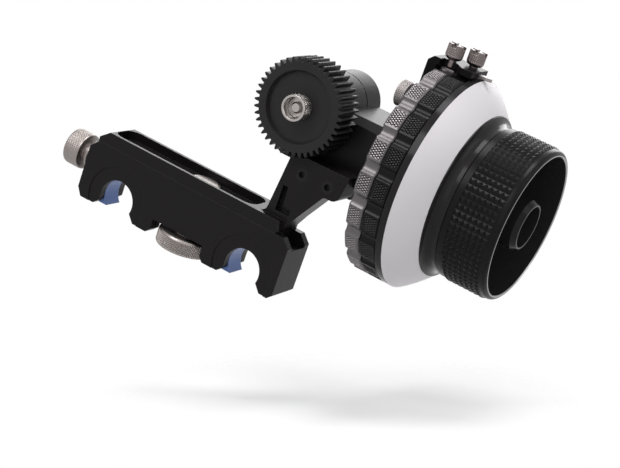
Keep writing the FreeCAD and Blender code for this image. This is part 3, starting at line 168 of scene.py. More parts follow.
class Graph:
    """The node tree of one material or world."""

    bevel_samples: ClassVar[int] = 6
    edge_contrast: ClassVar[float] = 5.0

    def __init__(
        self, owner: bpy.types.Material | bpy.types.World, output: str = "ShaderNodeOutputMaterial"
    ) -> None:
        """Empty the owner's tree and give it an output.

        Args:
            owner: the material or world whose tree this is.
            output: the type of the output node.
        """
        owner.use_nodes = True
        self.tree = owner.node_tree
        self.tree.nodes.clear()
        self.output = self.tree.nodes.new(output)

    def add(
        self,
        kind: str,
        settings: dict[str, Any],
        inputs: dict[str | int, Any],
        result: str | int = 0,
    ) -> Signal:
        """Add a node.

        Args:
            kind: the node's type.
            settings: the node's own properties, set first.
            inputs: values or signals for its sockets, by name or number.
            result: which output is returned.

        Returns:
            The chosen output.
        """
        node = self.tree.nodes.new(kind)
        for name, value in settings.items():
            setattr(node, name, value)
        for name, value in inputs.items():
            if isinstance(value, Signal):
                self.tree.links.new(value.socket, node.inputs[name])
            else:
                node.inputs[name].default_value = value
        return Signal(self, node.outputs[result])

    def place(self) -> Signal:
        """Object coordinates, in metres."""
        return self.add("ShaderNodeTexCoord", {}, {}, "Object")

    def split(self, vector: Signal) -> tuple[Signal, Signal, Signal]:
        """The three parts of a vector."""
        first = self.add("ShaderNodeSeparateXYZ", {}, {"Vector": vector})
        return first, first.beside(1), first.beside(2)

    def dot(self, vector: Signal, way: Signal | Sequence[float]) -> Signal:
        """How far a vector reaches along a direction."""
        kind = {"operation": "DOT_PRODUCT"}
        return self.add("ShaderNodeVectorMath", kind, {0: vector, 1: way}, "Value")

    def seen(self) -> Signal:
        """Find the rays that show the background.

        Returns:
            1 for rays from the camera, or off metal or glass, or else 0.
        """
        camera = self.add("ShaderNodeLightPath", {}, {}, "Is Camera Ray")
        mirrored = camera.beside("Is Glossy Ray") + camera.beside("Is Transmission Ray")
        return (camera + mirrored).clamp()

    def noise(self, size_mm: float, detail: float) -> Signal:
        """Smooth noise with features of about a size, from 0 to 1."""
        inputs = {"Vector": self.place(), "Scale": 1 / (size_mm * MM), "Detail": detail}
        return self.add("ShaderNodeTexNoise", {}, inputs)

    def mix(
        self, share: Signal | float, low: Signal | Sequence[float], high: Signal | Sequence[float]
    ) -> Signal:
        """Blend two colours.

        Args:
            share: 0 for the first colour and 1 for the second.
            low: the first colour, without alpha where it is a constant.
            high: the second colour, in the same way.

        Returns:
            The blended colour.
        """
        first, second = (tone if isinstance(tone, Signal) else (*tone, 1.0) for tone in (low, high))
        inputs = {0: share, 6: first, 7: second}
        return self.add("ShaderNodeMix", {"data_type": "RGBA"}, inputs, 2)

    def bump(self, height: Signal, distance_mm: float, normal: Signal | None = None) -> Signal:
        """Bump a surface.

        Args:
            height: the height, from 0 to 1.
            distance_mm: what a height of 1 stands for.
            normal: the normal to start from, or none for the surface's own.

        Returns:
            The new normal.
        """
        inputs: dict[str | int, Any] = {
            "Height": height,
            "Distance": distance_mm * MM,
            "Strength": 1.0,
        }
        if normal is not None:
            inputs["Normal"] = normal
        return self.add("ShaderNodeBump", {}, inputs)

    def edge(self, radius_mm: float) -> tuple[Signal, Signal]:
        """Rounded normals at edges.

        Args:
            radius_mm: the radius that each edge seems to have.

        Returns:
            The rounded normal, and a mask that is 1 on edges.
        """
        samples = {"samples": self.bevel_samples}
        rounded = self.add("ShaderNodeBevel", samples, {"Radius": radius_mm * MM})
        true = self.add("ShaderNodeNewGeometry", {}, {}, "True Normal")
        return rounded, ((1.0 - self.dot(rounded, true)) * self.edge_contrast).clamp()

    def shade(self, values: dict[str, Any]) -> None:
        """Finish with a Principled BSDF that takes these values."""
        self.show(self.add("ShaderNodeBsdfPrincipled", {}, values))

    def show(self, shader: Signal) -> None:
        """Lead a shader to the output."""
        self.tree.links.new(shader.socket, self.output.inputs["Surface"])


# --- Finishes ---


@dataclass(frozen=True)
class Finish:
    """A finish and the numbers that all finishes share."""

    name: str
    color: Color
    roughness: float
    metallic: float = 0.0
    specular: float = 0.5
    edge_mm: float = 0.25

    def build(self) -> bpy.types.Material:
        """Make the finish's material.

        Returns:
            The new material.
        """
        material = bpy.data.materials.new(self.name)
        material.diffuse_color = (*self.color, 1.0)
        self.dress(Graph(material))
        return material

    def dress(self, graph: Graph) -> None:
        """Add the finish's nodes to a material's graph."""
        raise NotImplementedError

    def shades(self, darker: float, lighter: float) -> tuple[tuple[float, ...], tuple[float, ...]]:
        """The colour made darker and lighter by two factors."""
        return tuple(c * darker for c in self.color), tuple(c * lighter for c in self.color)

    def dulled(self, pattern: Signal, swing: float) -> Signal:
        """The roughness, made to swing about its value by a pattern from 0 to 1."""
        return self.roughness - swing / 2 + pattern * swing


@dataclass(frozen=True)
class Anodised(Finish):
    """Bead-blasted and anodised aluminium with slightly polished edges, made lighter by wear and a
    painted highlight.
    """

    grain_mm: float = 0.35
    grain_depth_mm: float = 0.004
    grain_swing: float = 0.1
    cloud_mm: float = 14.0
    cloud_tones: tuple[float, float] = (0.86, 1.16)
    edge_gain: float = 2.2
    edge_lift: float = 0.01
    edge_wear_and_highlight: float = 0.35
    cloud_wear_and_highlight: float = 0.5
    edge_polish: float = 0.06

    def dress(self, graph: Graph) -> None:
        """Fine grain, clouded colour, and edges made lighter by wear and a painted highlight.

        Args:
            graph: the material's graph.
        """
        cloud = graph.noise(self.cloud_mm, detail=2.0)
        grain = graph.noise(self.grain_mm, detail=2.0)
        rounded, edge = graph.edge(self.edge_mm)
        base = graph.mix(cloud, *self.shades(*self.cloud_tones))
        # Wear and painted highlight: the colour is made lighter along edges, more so where the
        # cloud is light.
        worn_highlit_tone = tuple(min(1.0, c * self.edge_gain + self.edge_lift) for c in self.color)
        wear_and_highlight = edge * (self.edge_wear_and_highlight + cloud * self.cloud_wear_and_highlight)
        graph.shade({
            "Base Color": graph.mix(wear_and_highlight, base, worn_highlit_tone),
            "Roughness": self.dulled(grain, self.grain_swing) - edge * self.edge_polish,
            "Metallic": self.metallic,
            "Specular IOR Level": self.specular,
            "Normal": graph.bump(grain, self.grain_depth_mm, rounded),
        })


@dataclass(frozen=True)
class Turned(Finish):
    """Metal turned on a lathe, with fine rings about the turning axis."""

    axis: str = "X"
    centre_mm: tuple[float, float] = WHEEL_AXIS
    ring_mm: float = 0.22
    ring_depth_mm: float = 0.0015
    wobble_mm: float = 3.0
    wobble_turn: float = 6.0
    stain_mm: float = 6.0
    stain_and_highlight_tones: tuple[float, float] = (0.9, 1.08)
    stain_share: float = 0.7
    edge_highlight_share: float = 0.3
    stain_swing: float = 0.08

    def spot(self, graph: Graph) -> tuple[Signal, Signal, Signal, Signal]:
        """Places on the part, in millimetres.

        Args:
            graph: the material's graph.

        Returns:
            The distance along the axis, the two distances across it, and the radius.
        """
        parts = dict(zip("XYZ", graph.split(graph.place())))
        along = parts.pop(self.axis) * (1 / MM)
        first, second = (part * (1 / MM) - c for part, c in zip(parts.values(), self.centre_mm))
        return along, first, second, (first * first + second * second) ** 0.5

    def rings(self, graph: Graph) -> Signal:
        """Fine waves by the distance from the axis and along it.

        Args:
            graph: the material's graph.

        Returns:
            The waves, from 0 to 1.
        """
        along, _, _, reach = self.spot(graph)
        phase = (reach + along) * (2 * math.pi / self.ring_mm)
        wobble = graph.noise(self.wobble_mm, detail=1.0) * self.wobble_turn
        return (phase + wobble).sine() * 0.5 + 0.5

    def accent(self, graph: Graph, base: Signal) -> tuple[Signal, Signal | float]:
        """The colour and the metallic share, with what a finish adds to its base."""
        return base, self.metallic

    def dress(self, graph: Graph) -> None:
        """Turning marks, soft stains, and rounded edges made lighter by a painted highlight.

        Args:
            graph: the material's graph.
        """
        ring = self.rings(graph)
        stain = graph.noise(self.stain_mm, detail=3.0)
        rounded, edge = graph.edge(self.edge_mm)
        # Painted highlight: edges mix towards the lighter tone, on top of the random stains.
        share = stain * self.stain_share + edge * self.edge_highlight_share
        base = graph.mix(share, *self.shades(*self.stain_and_highlight_tones))
        color, metallic = self.accent(graph, base)
        graph.shade({
            "Base Color": color,
            "Roughness": self.dulled(stain, self.stain_swing),
            "Metallic": metallic,
            "Specular IOR Level": self.specular,
            "Normal": graph.bump(ring, self.ring_depth_mm, rounded),
        })


@dataclass(frozen=True)
class Knurled(Turned):
    """A turned finish whose knurled pads have a painted highlight on the tips and painted shade in
    the valleys.
    """

    outer_mm: float = RING_RADIUS
    zone_mm: tuple[float, float] = (0.0, 1.0)
    pads: int = RING_PADS
    pad_angle: float = 0.0
    pad_edge: float = 0.12
    knurl_depth: float = 0.6
    tip_depth: float = 0.12
    tip_sharpness: float = 20.0
    tip_highlight_gain: float = 2.0
    valley_shade_sharpness: float = 10.0
    valley_shade_gain: float = 0.3

    def accent(self, graph: Graph, base: Signal) -> tuple[Signal, Signal | float]:
        """Painted highlights on the tips and painted shade in the valleys of the knurled patch of
        each pad.

        Args:
            graph: the material's graph.
            base: the colour elsewhere.

        Returns:
            The colour and the metallic share.
        """
        along, first, second, reach = self.spot(graph)
        turn = first.math("ARCTAN2", 0.0 - second) - math.radians(self.pad_angle)
        patch = (turn * float(self.pads)).cosine().above(self.pad_edge)
        low, high = self.zone_mm
        zone = patch * along.above(low) * (1.0 - along.above(high))
        # Painted highlight on the knurl's tips.
        tip = ((reach - self.outer_mm + self.tip_depth) * self.tip_sharpness).clamp() * zone
        # Painted shade in the knurl's valleys.
        valley_shade = ((self.outer_mm - self.tip_depth - reach) * self.valley_shade_sharpness).clamp()
        valley_shade = valley_shade * reach.above(self.outer_mm - self.knurl_depth) * zone
        dark, light = self.shades(self.valley_shade_gain, self.tip_highlight_gain)
        return graph.mix(tip, graph.mix(valley_shade, base, dark), light), self.metallic


@dataclass(frozen=True)
class Rimmed(Turned):
    """A turned finish with one bright rim and a bore painted paler, as painted light in the hollow.
    """

    rim_start: float = 0.0
    rim_radius: float = 0.0
    rim_color: Color = (0.3, 0.29, 0.3)
    rim_metallic: float = 0.9
    bore_radius: float = 0.0
    bore_gain: float = 3.0

    def accent(self, graph: Graph, base: Signal) -> tuple[Signal, Signal | float]:
        """Bare metal beyond a place along the axis and inside a radius, and a bore painted paler as
        painted light in the hollow.

        Args:
            graph: the material's graph.
            base: the colour elsewhere.

        Returns:
            The colour and the metallic share.
        """
        along, _, _, reach = self.spot(graph)
        rim = along.above(self.rim_start) * (1.0 - reach.above(self.rim_radius))
        # Painted light: the bore, which lamps hardly reach, is made paler than the grip's own
        # colour.
        paler = tuple(c * self.bore_gain for c in self.color)
        color = graph.mix(1.0 - reach.above(self.bore_radius), base, paler)
        return graph.mix(rim, color, self.rim_color), rim * self.rim_metallic + self.metallic


@dataclass(frozen=True)
class Enamel(Finish):
    """Smooth satin coating with a faint orange-peel surface."""

    peel_mm: float = 1.6
    peel_depth_mm: float = 0.004
    peel_swing: float = 0.06
    cloud_mm: float = 22.0
    cloud_tones: tuple[float, float] = (0.975, 1.01)

    def dress(self, graph: Graph) -> None:
        """A gently uneven surface and a barely clouded colour.

        Args:
            graph: the material's graph.
        """
        peel = graph.noise(self.peel_mm, detail=2.0)
        cloud = graph.noise(self.cloud_mm, detail=2.0)
        graph.shade({
            "Base Color": graph.mix(cloud, *self.shades(*self.cloud_tones)),
            "Roughness": self.dulled(peel, self.peel_swing),
            "Metallic": self.metallic,
            "Specular IOR Level": self.specular,
            "Normal": graph.bump(peel, self.peel_depth_mm),
        })


@dataclass(frozen=True)
class Ground(Finish):
    """Matt white paper that fades into the backdrop around the object's shadow."""

    glow: float = 0.12
    bounce: float = 0.55
    middle: Spot = (0.0, 0.0, 0.0)
    across: Spot = (1.0, 0.0, 0.0)
    back: Spot = (0.0, 1.0, 0.0)
    reach: float = 0.095
    flatness: float = 0.62

    def dress(self, graph: Graph) -> None:
        """A matt surface with a faint glow, clear where the backdrop is as white.

        Args:
            graph: the material's graph.
        """
        place, seen = graph.place(), graph.seen()
        side, deep = (
            graph.dot(place, way) - Vector(self.middle).dot(Vector(way))
            for way in (self.across, self.back)
        )
        deep = deep * self.flatness
        away = ((side * side + deep * deep) / self.reach**2).clamp()
        graph.shade({
            "Base Color": graph.mix(seen, (self.bounce,) * 3, self.color),
            "Roughness": self.roughness,
            "Specular IOR Level": self.specular,
            "Emission Color": graph.mix(seen, (0.0,) * 3, (self.glow,) * 3),
            "Emission Strength": 1.0,
            "Alpha": 1.0 - away * seen,
        })


# Anodised finishes below lighten their edges by wear and a painted highlight; turned ones by a
# painted highlight.
BLACK = Anodised("black_anodised", (0.0078, 0.0066, 0.007), 0.36, specular=0.13)
BRACKET_BLACK = Anodised("bracket_black", (0.006, 0.0052, 0.0055), 0.3, specular=0.05)
GEAR_BLACK = Anodised("gear_black", (0.016, 0.0147, 0.0155), 0.45, specular=0.2, edge_mm=0.12)
BLUE = Anodised("blue_anodised", (0.085, 0.14, 0.33), 0.34, metallic=0.45, edge_gain=1.4)
# The rings' knurls carry a painted highlight on the tips and painted shade in the valleys.
RING_GREY = Knurled("ring_grey", (0.123, 0.113, 0.117), 0.36, metallic=0.85, edge_mm=0.12,
                    zone_mm=(68.3, 72.75), pad_angle=PAD_ANGLE_A, tip_highlight_gain=2.6)
RING_BLACK = Knurled("ring_black", (0.006, 0.0056, 0.006), 0.24, specular=0.12, edge_mm=0.12,
                     zone_mm=(75.05, 79.55), pad_angle=PAD_ANGLE_B, tip_highlight_gain=9.0)
WHEEL_BLACK = Turned("wheel_black", (0.021, 0.0195, 0.0205), 0.15, specular=0.085, ring_mm=0.3)
# The grip's bore is painted paler, as painted light in the hollow.
GRIP_BLACK = Rimmed("grip_black", (0.0085, 0.008, 0.0084), 0.28, specular=0.08, edge_mm=0.05,
                    rim_start=117.6, rim_radius=27.45, bore_radius=26.95)
NICKEL_X = Turned("nickel_x", (0.265, 0.237, 0.226), 0.36, metallic=1.0, centre_mm=SIDE_AXIS)
NICKEL_BRACKET = Turned("nickel_bracket", (0.285, 0.262, 0.257), 0.36, metallic=1.0,
                        centre_mm=BRACKET_AXIS)
NICKEL_Y = Turned("nickel_y", (0.4, 0.375, 0.36), 0.24, metallic=1.0, axis="Y",
                  centre_mm=DRIVE_AXIS, edge_mm=0.1)
NICKEL_LOCK = Turned("nickel_lock", (0.185, 0.158, 0.154), 0.34, metallic=1.0, axis="Z",
                     centre_mm=LOCKS_MIDDLE)
NICKEL_KNOB = Turned("nickel_knob", (0.275, 0.248, 0.237), 0.34, metallic=1.0, axis="Z",
                     centre_mm=KNOB_AXIS)
STEEL = Turned("steel", (0.5, 0.49, 0.48), 0.24, metallic=1.0)
SCREW_BLACK = Anodised("screw_black", (0.012, 0.011, 0.0112), 0.32, metallic=0.1, specular=0.15,
                       edge_mm=0.1)
BRASS = Turned("brass", (0.6, 0.42, 0.17), 0.3, metallic=1.0)
WHITE = Enamel("white_satin", (0.8, 0.77, 0.8), 0.4, specular=0.35)

NODE_FINISH: dict[str, Finish] = {
    "clamp_block": BLACK, "lock_stud": NICKEL_KNOB, "left_jaw": BLUE, "right_jaw": BLUE,
    "jaw_bar": BLACK, "jaw_screws": SCREW_BLACK, "side_thumbscrew": NICKEL_X,
    "screw_clip": STEEL, "lock_knob": NICKEL_KNOB, "rail_arm": BLACK, "gearbox_body": BLACK,
    "gearbox_rear_cover": BLACK, "shaft_cap": BLACK, "cover_screws": SCREW_BLACK,
    "cap_screws": SCREW_BLACK, "arm_screws": SCREW_BLACK, "stop_carrier": BLACK,
    "carrier_screws": SCREW_BLACK, "thrust_washer": BRASS, "ring_retainer": STEEL,
    "top_bracket": BRACKET_BLACK, "index_pointer": NICKEL_BRACKET, "drive_bearing_front": STEEL,
    "drive_bearing_rear": STEEL, "counter_bearing_front": STEEL,
    "counter_bearing_rear": STEEL, "wheel_bearing_inner": STEEL,
    "wheel_bearing_outer": STEEL, "drive_shaft": NICKEL_Y, "drive_gear": GEAR_BLACK,
    "gear_nut": NICKEL_Y, "drive_pinion": STEEL, "counter_shaft": STEEL,
    "counter_spur": STEEL, "counter_bevel": BRASS, "wheel_shaft": STEEL,
    "wheel_bevel": BRASS, "wheel_hub": WHEEL_BLACK, "marking_disc": WHITE,
    "disc_collar": WHEEL_BLACK, "grip": GRIP_BLACK, "socket_insert": STEEL,
    "hub_screw": STEEL, "stop_ring_a": RING_GREY, "stop_ring_b": RING_BLACK,
    "lock_screw_a": NICKEL_LOCK, "lock_screw_b": NICKEL_LOCK, "bracket_thumbscrew": NICKEL_BRACKET,
}


class Paintshop:
    """Makes each finish once and puts it on nodes and pieces."""

    def __init__(self) -> None:
        """Start with no materials made."""
        self.made: dict[str, bpy.types.Material] = {}

    def material(self, finish: Finish) -> bpy.types.Material:
        """Make a finish's material, or find it where it is made already.

        Args:
            finish: the finish.

        Returns:
            The finish's one material.
        """
        if finish.name not in self.made:
            self.made[finish.name] = finish.build()
        return self.made[finish.name]

    def paint(self, thing: bpy.types.Object, finish: Finish) -> None:
        """Give a whole object one finish.

        Args:
            thing: the object.
            finish: what covers it.
        """
        if not thing.material_slots:
            thing.data.materials.append(None)
        for slot in thing.material_slots:
            slot.material = self.material(finish)

    def dress_nodes(self) -> None:
        """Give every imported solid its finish."""
        for name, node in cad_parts.items():
            self.paint(node, NODE_FINISH[name])
            LOG.info("node %s: %s", name, NODE_FINISH[name].name)


# --- Bench work ---


def spread(start: float, end: float, steps: int) -> list[float]:
    """Evenly spaced stations from start to end, both counted."""
    return [start + (end - start) * index / steps for index in range(steps + 1)]


class Pattern(Enum):
    """A knurl's shape, and how its quads are split to keep its ridges sharp."""

    DIAMOND = "SHORTEST_DIAGONAL"
    PYRAMID = "LONGEST_DIAGONAL"


@dataclass(frozen=True)
class Knurl:
    """A knurl on a turned part, on a grid of four steps to each tooth."""

    radius: float
    low: float
    high: float
    depth: float
    around: int
    along: int
    pattern: Pattern = Pattern.DIAMOND

    pyramid_side: ClassVar[float] = 0.42
    diamond_sides: ClassVar[tuple[float, float]] = (0.26, 0.18)

    def profile(self) -> list[tuple[float, float]]:
        """The knurl's part of a lathe profile, from low to high."""
        return [(self.radius, height) for height in spread(self.low, self.high, self.along)]

    def drops(self, place: np.ndarray) -> np.ndarray:
        """How deep points lie in the knurl, as a share of its depth.

        Args:
            place: points as rows of x, y and z, in the turned part's own millimetres.

        Returns:
            A share for each point: 0 on a tip and 1 in a valley.
        """
        turn = np.arctan2(place[:, 1], place[:, 0]) / (2 * math.pi)
        column = np.rint(turn * self.around).astype(int)
        row = np.rint((place[:, 2] - self.low) * self.along / (self.high - self.low)).astype(int)
        if self.pattern is Pattern.PYRAMID:
            reach = np.maximum(np.abs(column % 4 - 2), np.abs(row % 4 - 2))
            return np.choose(reach, [0.0, self.pyramid_side, 1.0])
        tip = ((column + row) % 4 == 0) & ((column - row) % 4 == 0)
        shoulder = np.where(column % 2 == 1, *self.diamond_sides)
        return np.where((column + row) % 2 == 1, shoulder, np.where(tip, 0.0, 1.0))


class Bench:
    """Mesh work by operators, on one piece at a time."""

    @staticmethod
    def clear() -> None:
        """Leave edit mode and deselect everything."""
        if bpy.context.object is not None and bpy.context.object.mode != "OBJECT":
            bpy.ops.object.mode_set(mode="OBJECT")
        bpy.ops.object.select_all(action="DESELECT")

    @staticmethod
    def hold(thing: bpy.types.Object) -> None:
        """Make one object the only selected and active one.

        Args:
            thing: the object.
        """
        Bench.clear()
        thing.select_set(True)
        bpy.context.view_layer.objects.active = thing

    @staticmethod
    def points(thing: bpy.types.Object) -> np.ndarray:
        """Read an object's vertices.

        Args:
            thing: the object.

        Returns:
            Rows of x, y and z, in the object's own millimetres.
        """
        flat = np.zeros(len(thing.data.vertices) * 3)
        thing.data.vertices.foreach_get("co", flat)
        return flat.reshape(-1, 3) / MM

    @staticmethod
    def pick(thing: bpy.types.Object, chosen: np.ndarray) -> None:
        """Open an object in edit mode with only some vertices selected.

        Args:
            thing: the object.
            chosen: for each vertex, whether it is selected.
        """
        Bench.hold(thing)
        bpy.ops.object.mode_set(mode="EDIT")
        bpy.ops.mesh.select_mode(type="VERT")
        bpy.ops.mesh.select_all(action="DESELECT")
        bpy.ops.object.mode_set(mode="OBJECT")
        thing.data.vertices.foreach_set("select", chosen.astype(bool))
        bpy.ops.object.mode_set(mode="EDIT")

    @staticmethod
    def scale_about_axis(thing: bpy.types.Object, chosen: np.ndarray, factor: float) -> None:
        """Scale vertices towards or away from the object's own Z axis.

        Args:
            thing: the object.
            chosen: for each vertex, whether it moves.
            factor: how far from the axis it ends, as a share of its distance now.
        """
        Bench.pick(thing, chosen)
        bpy.ops.transform.resize(value=(factor, factor, 1.0), center_override=(0.0, 0.0, 0.0))
        bpy.ops.object.mode_set(mode="OBJECT")

    @staticmethod
    def apply(thing: bpy.types.Object, kind: str, settings: dict[str, Any]) -> None:
        """Add a modifier and apply it.

        Args:
            thing: the object.
            kind: the modifier's type.
            settings: the modifier's own properties.
        """
        Bench.hold(thing)
        modifier = thing.modifiers.new(kind.lower(), kind)
        for name, value in settings.items():
            setattr(modifier, name, value)
        bpy.ops.object.modifier_apply(modifier=modifier.name)

    @staticmethod
    def lathe(name: str, profile: Profile, sides: int) -> bpy.types.Object:
        """Turn a closed profile by extruding a circle ring by ring.

        Args:
            name: the piece's name.
            profile: stations of (radius, height) along the object's own Z axis.
            sides: how many segments a turn has.

        Returns:
            The turned piece, still at the origin.
        """
        Bench.clear()
        radius, height = profile[0]
        bpy.ops.mesh.primitive_circle_add(
            vertices=sides, radius=radius * MM, location=(0.0, 0.0, height * MM)
        )
        piece = bpy.context.object
        piece.name = name
        bpy.ops.object.transform_apply(location=True, rotation=True, scale=True)
        bpy.ops.object.mode_set(mode="EDIT")
        bpy.ops.mesh.select_all(action="SELECT")
        for next_radius, next_height in (*profile[1:], profile[0]):
            bpy.ops.mesh.extrude_region_move(
                TRANSFORM_OT_translate={"value": (0.0, 0.0, (next_height - height) * MM)}
            )
            factor = next_radius / radius
            bpy.ops.transform.resize(
                value=(factor, factor, 1.0), center_override=(0.0, 0.0, next_height * MM)
            )
            radius, height = next_radius, next_height
        bpy.ops.mesh.select_all(action="SELECT")
        bpy.ops.mesh.remove_doubles(threshold=MERGE)
        bpy.ops.mesh.normals_make_consistent(inside=False)
        bpy.ops.object.mode_set(mode="OBJECT")
        return piece

    @staticmethod
    def press(piece: bpy.types.Object, chosen: np.ndarray, knurl: Knurl) -> None:
        """Press a knurl into part of a turned grid.

        Args:
            piece: a lathe piece at the origin.
            chosen: for each vertex, whether the knurl may move it.
            knurl: the pattern and its sizes.
        """
        drop = knurl.drops(Bench.points(piece))
        for depth in np.unique(drop[drop > 0]):
            factor = 1 - knurl.depth * float(depth) / knurl.radius
            Bench.scale_about_axis(piece, chosen & (drop == depth), factor)
        Bench.pick(piece, chosen)
        bpy.ops.mesh.quads_convert_to_tris(quad_method=knurl.pattern.value, ngon_method="BEAUTY")
        bpy.ops.object.mode_set(mode="OBJECT")

    @staticmethod
    def knurled(name: str, profile: Profile, knurl: Knurl) -> bpy.types.Object:
        """Turn a profile and press a knurl into its widest part.

        Args:
            name: the piece's name.
            profile: the whole closed profile, the knurl's stations included.
            knurl: the knurled part of it.

        Returns:
            The piece, still at the origin.
        """
        piece = Bench.lathe(name, profile, knurl.around)
        place = Bench.points(piece)
        Bench.press(piece, np.hypot(place[:, 0], place[:, 1]) > knurl.radius - TOUCH, knurl)
        return piece

    @staticmethod
    def seat(piece: bpy.types.Object, along: Along, spot: Spot, smooth: float) -> None:
        """Turn a piece to its axis, move it to its spot in the mesh, and smooth it.

        Args:
            piece: the piece, at the origin.
            along: the direction of its axis.
            spot: where its own origin comes to lie.
            smooth: the angle in degrees under which an edge looks round.
        """
        Bench.hold(piece)
        piece.rotation_euler = along.value
        piece.location = Vector(spot) * MM
        bpy.ops.object.transform_apply(location=True, rotation=True, scale=True)
        bpy.ops.object.shade_smooth_by_angle(angle=math.radians(smooth))


@dataclass
class Assembly:
    """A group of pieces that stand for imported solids."""

    shop: Paintshop

    def hand_over(
        self, piece: bpy.types.Object, node: str, body: str, slot: str, finish: Finish
    ) -> None:
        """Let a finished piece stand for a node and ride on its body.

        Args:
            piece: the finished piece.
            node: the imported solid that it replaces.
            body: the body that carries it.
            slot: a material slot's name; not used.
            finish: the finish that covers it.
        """
        self.shop.paint(piece, finish)
        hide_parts(node)
        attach(piece, body)
        LOG.info("piece %s: %d faces, on %s", piece.name, len(piece.data.polygons), body)


# --- Stop rings ---


@dataclass(frozen=True)
class Ring:
    """What differs between the two stop rings."""

    node: str
    body: str
    slot: str
    finish: Finish
    back: float
    width: float
    seat_width: float
    pad_angle: float
    knurl: Knurl


@dataclass
class StopRings(Assembly):
    """Two rings with scallops between finger pads, and a knurl on each pad."""

    radius: float = RING_RADIUS
    bore: float = 9.55
    seat_radius: float = 12.5
    web_inner: float = 13.0
    web_outer: float = 33.0
    web_depth: float = 2.4
    edge: float = 0.5
    skin: float = 0.1
    pads: int = RING_PADS
    columns: int = 52
    scallop_columns: int = 10
    patch_columns: int = 12
    scallop_radius: float = 3.2
    scallop_depth: float = 1.2
    smooth: float = 24.0
    rings: tuple[Ring, ...] = (
        Ring("stop_ring_a", "ring_a", "titan_grey", RING_GREY,
             back=67.6, width=5.85, seat_width=5.85, pad_angle=PAD_ANGLE_A,
             knurl=Knurl(RING_RADIUS, low=0.7, high=5.15, depth=0.3, around=1040, along=10)),
        Ring("stop_ring_b", "ring_b", "gloss_black_metal", RING_BLACK,
             back=73.55, width=6.75, seat_width=5.45, pad_angle=PAD_ANGLE_B,
             knurl=Knurl(RING_RADIUS, low=1.5, high=6.0, depth=0.3, around=1040, along=10)),
    )

    def build(self) -> None:
        """Build both rings."""
        for ring in self.rings:
            self.ring(ring)

    def ring(self, ring: Ring) -> None:
        """Turn one ring, scoop its scallops, press its knurl and seat it.

        Args:
            ring: which ring.
        """
        rim = [
            (self.radius - self.edge, 0.0), (self.radius, self.edge), *ring.knurl.profile(),
            (self.radius, ring.width - self.edge), (self.radius - self.edge, ring.width),
        ]
        hub = [(self.bore, ring.width)]
        if ring.seat_width < ring.width:
            hub = [(self.seat_radius, ring.width), (self.seat_radius, ring.seat_width),
                   (self.bore, ring.seat_width)]
        piece = Bench.lathe(ring.node + "_scalloped", [
            (self.bore, 0.0), (self.web_inner, 0.0), (self.web_inner, self.web_depth),
            (self.web_outer, self.web_depth), (self.web_outer, 0.0), *rim, *hub,
        ], self.pads * self.columns)
        self.scoop(piece)
        self.press(piece, ring.knurl)
        # The first scallop's middle lies on local X, which turns down to -Z.
        Bench.hold(piece)
        piece.rotation_euler = (0.0, 0.0, math.radians(180.0 / self.pads + ring.pad_angle))
        bpy.ops.object.transform_apply(location=True, rotation=True, scale=True)
        Bench.seat(piece, Along.X, (ring.back, *WHEEL_AXIS), self.smooth)
        self.hand_over(piece, ring.node, ring.body, ring.slot, ring.finish)

    def columns_of(self, place: np.ndarray) -> tuple[np.ndarray, np.ndarray]:
        """Find the grid's columns.

        Args:
            place: points as rows of x, y and z, in the ring's own millimetres.

        Returns:
            Each point's column from the nearest scallop's middle, and its radius.
        """
        turn = np.degrees(np.arctan2(place[:, 1], place[:, 0]))
        column = np.rint(turn * self.pads * self.columns / 360).astype(int) % self.columns
        return np.minimum(column, self.columns - column), np.hypot(place[:, 0], place[:, 1])

    def scoop(self, piece: bpy.types.Object) -> None:
        """Draw the rim in between the pads, column by column.

        Args:
            piece: the turned ring.
        """
        column, radius = self.columns_of(Bench.points(piece))
        reach = self.radius - self.scallop_depth + self.scallop_radius
        for step in range(self.scallop_columns):
            angle = math.radians(step * 360 / (self.pads * self.columns))
            drop = self.scallop_radius**2 - (reach * math.sin(angle)) ** 2
            depth = reach * math.cos(angle) - math.sqrt(drop)
            chosen = (column == step) & (radius > self.radius - 2 * self.edge)
            Bench.scale_about_axis(piece, chosen, depth / self.radius)

    def press(self, piece: bpy.types.Object, knurl: Knurl) -> None:
        """Press the knurl into the middle of each pad.

        Args:
            piece: the scalloped ring.
            knurl: the ring's knurl.
        """
        place = Bench.points(piece)
        column, radius = self.columns_of(place)
        height = place[:, 2]
        chosen = (
            (column >= self.columns // 2 - self.patch_columns)
            & (radius > self.radius - self.skin)
            & (height > knurl.low - TOUCH)
            & (height < knurl.high + TOUCH)
        )
        Bench.press(piece, chosen, knurl)


# --- Handwheel ---


@dataclass
class Handwheel(Assembly):
    """The grip's sleeve: rows of small pyramids between two polished bands."""

    back: float = 97.6
    length: float = 20.4
    inner: float = 26.8
    band: float = 28.8
    band_edge: float = 0.5
    band_gap: float = 0.2
    nose: float = 1.6
    nose_end: float = 27.05
    nose_steps: int = 6
    mouth: float = 0.35
    smooth: float = 24.0
    knurl: Knurl = Knurl(29.4, low=2.75, high=17.8, depth=0.6, around=300, along=28,
                         pattern=Pattern.PYRAMID)

    def build(self) -> None:
        """Build the sleeve."""
        start = self.length - self.nose
        nose = [
            (self.nose_end + (self.band - self.nose_end) * math.cos(turn),
             start + self.nose * math.sin(turn))
            for turn in spread(0.0, math.pi / 2, self.nose_steps)
        ]
        profile = [
            (self.inner, 0.0), (self.band - self.band_edge, 0.0), (self.band, self.band_edge),
            (self.band, self.knurl.low - self.band_gap), *self.knurl.profile(),
            (self.band, self.knurl.high + self.band_gap), *nose,
            (self.inner, self.length - self.mouth),
        ]
        sleeve = Bench.knurled("grip_sleeve", profile, self.knurl)
        Bench.seat(sleeve, Along.X, (self.back, *WHEEL_AXIS), self.smooth)
        self.hand_over(sleeve, "grip", "wheel", "grip_black", GRIP_BLACK)


# --- Silver hand parts ---


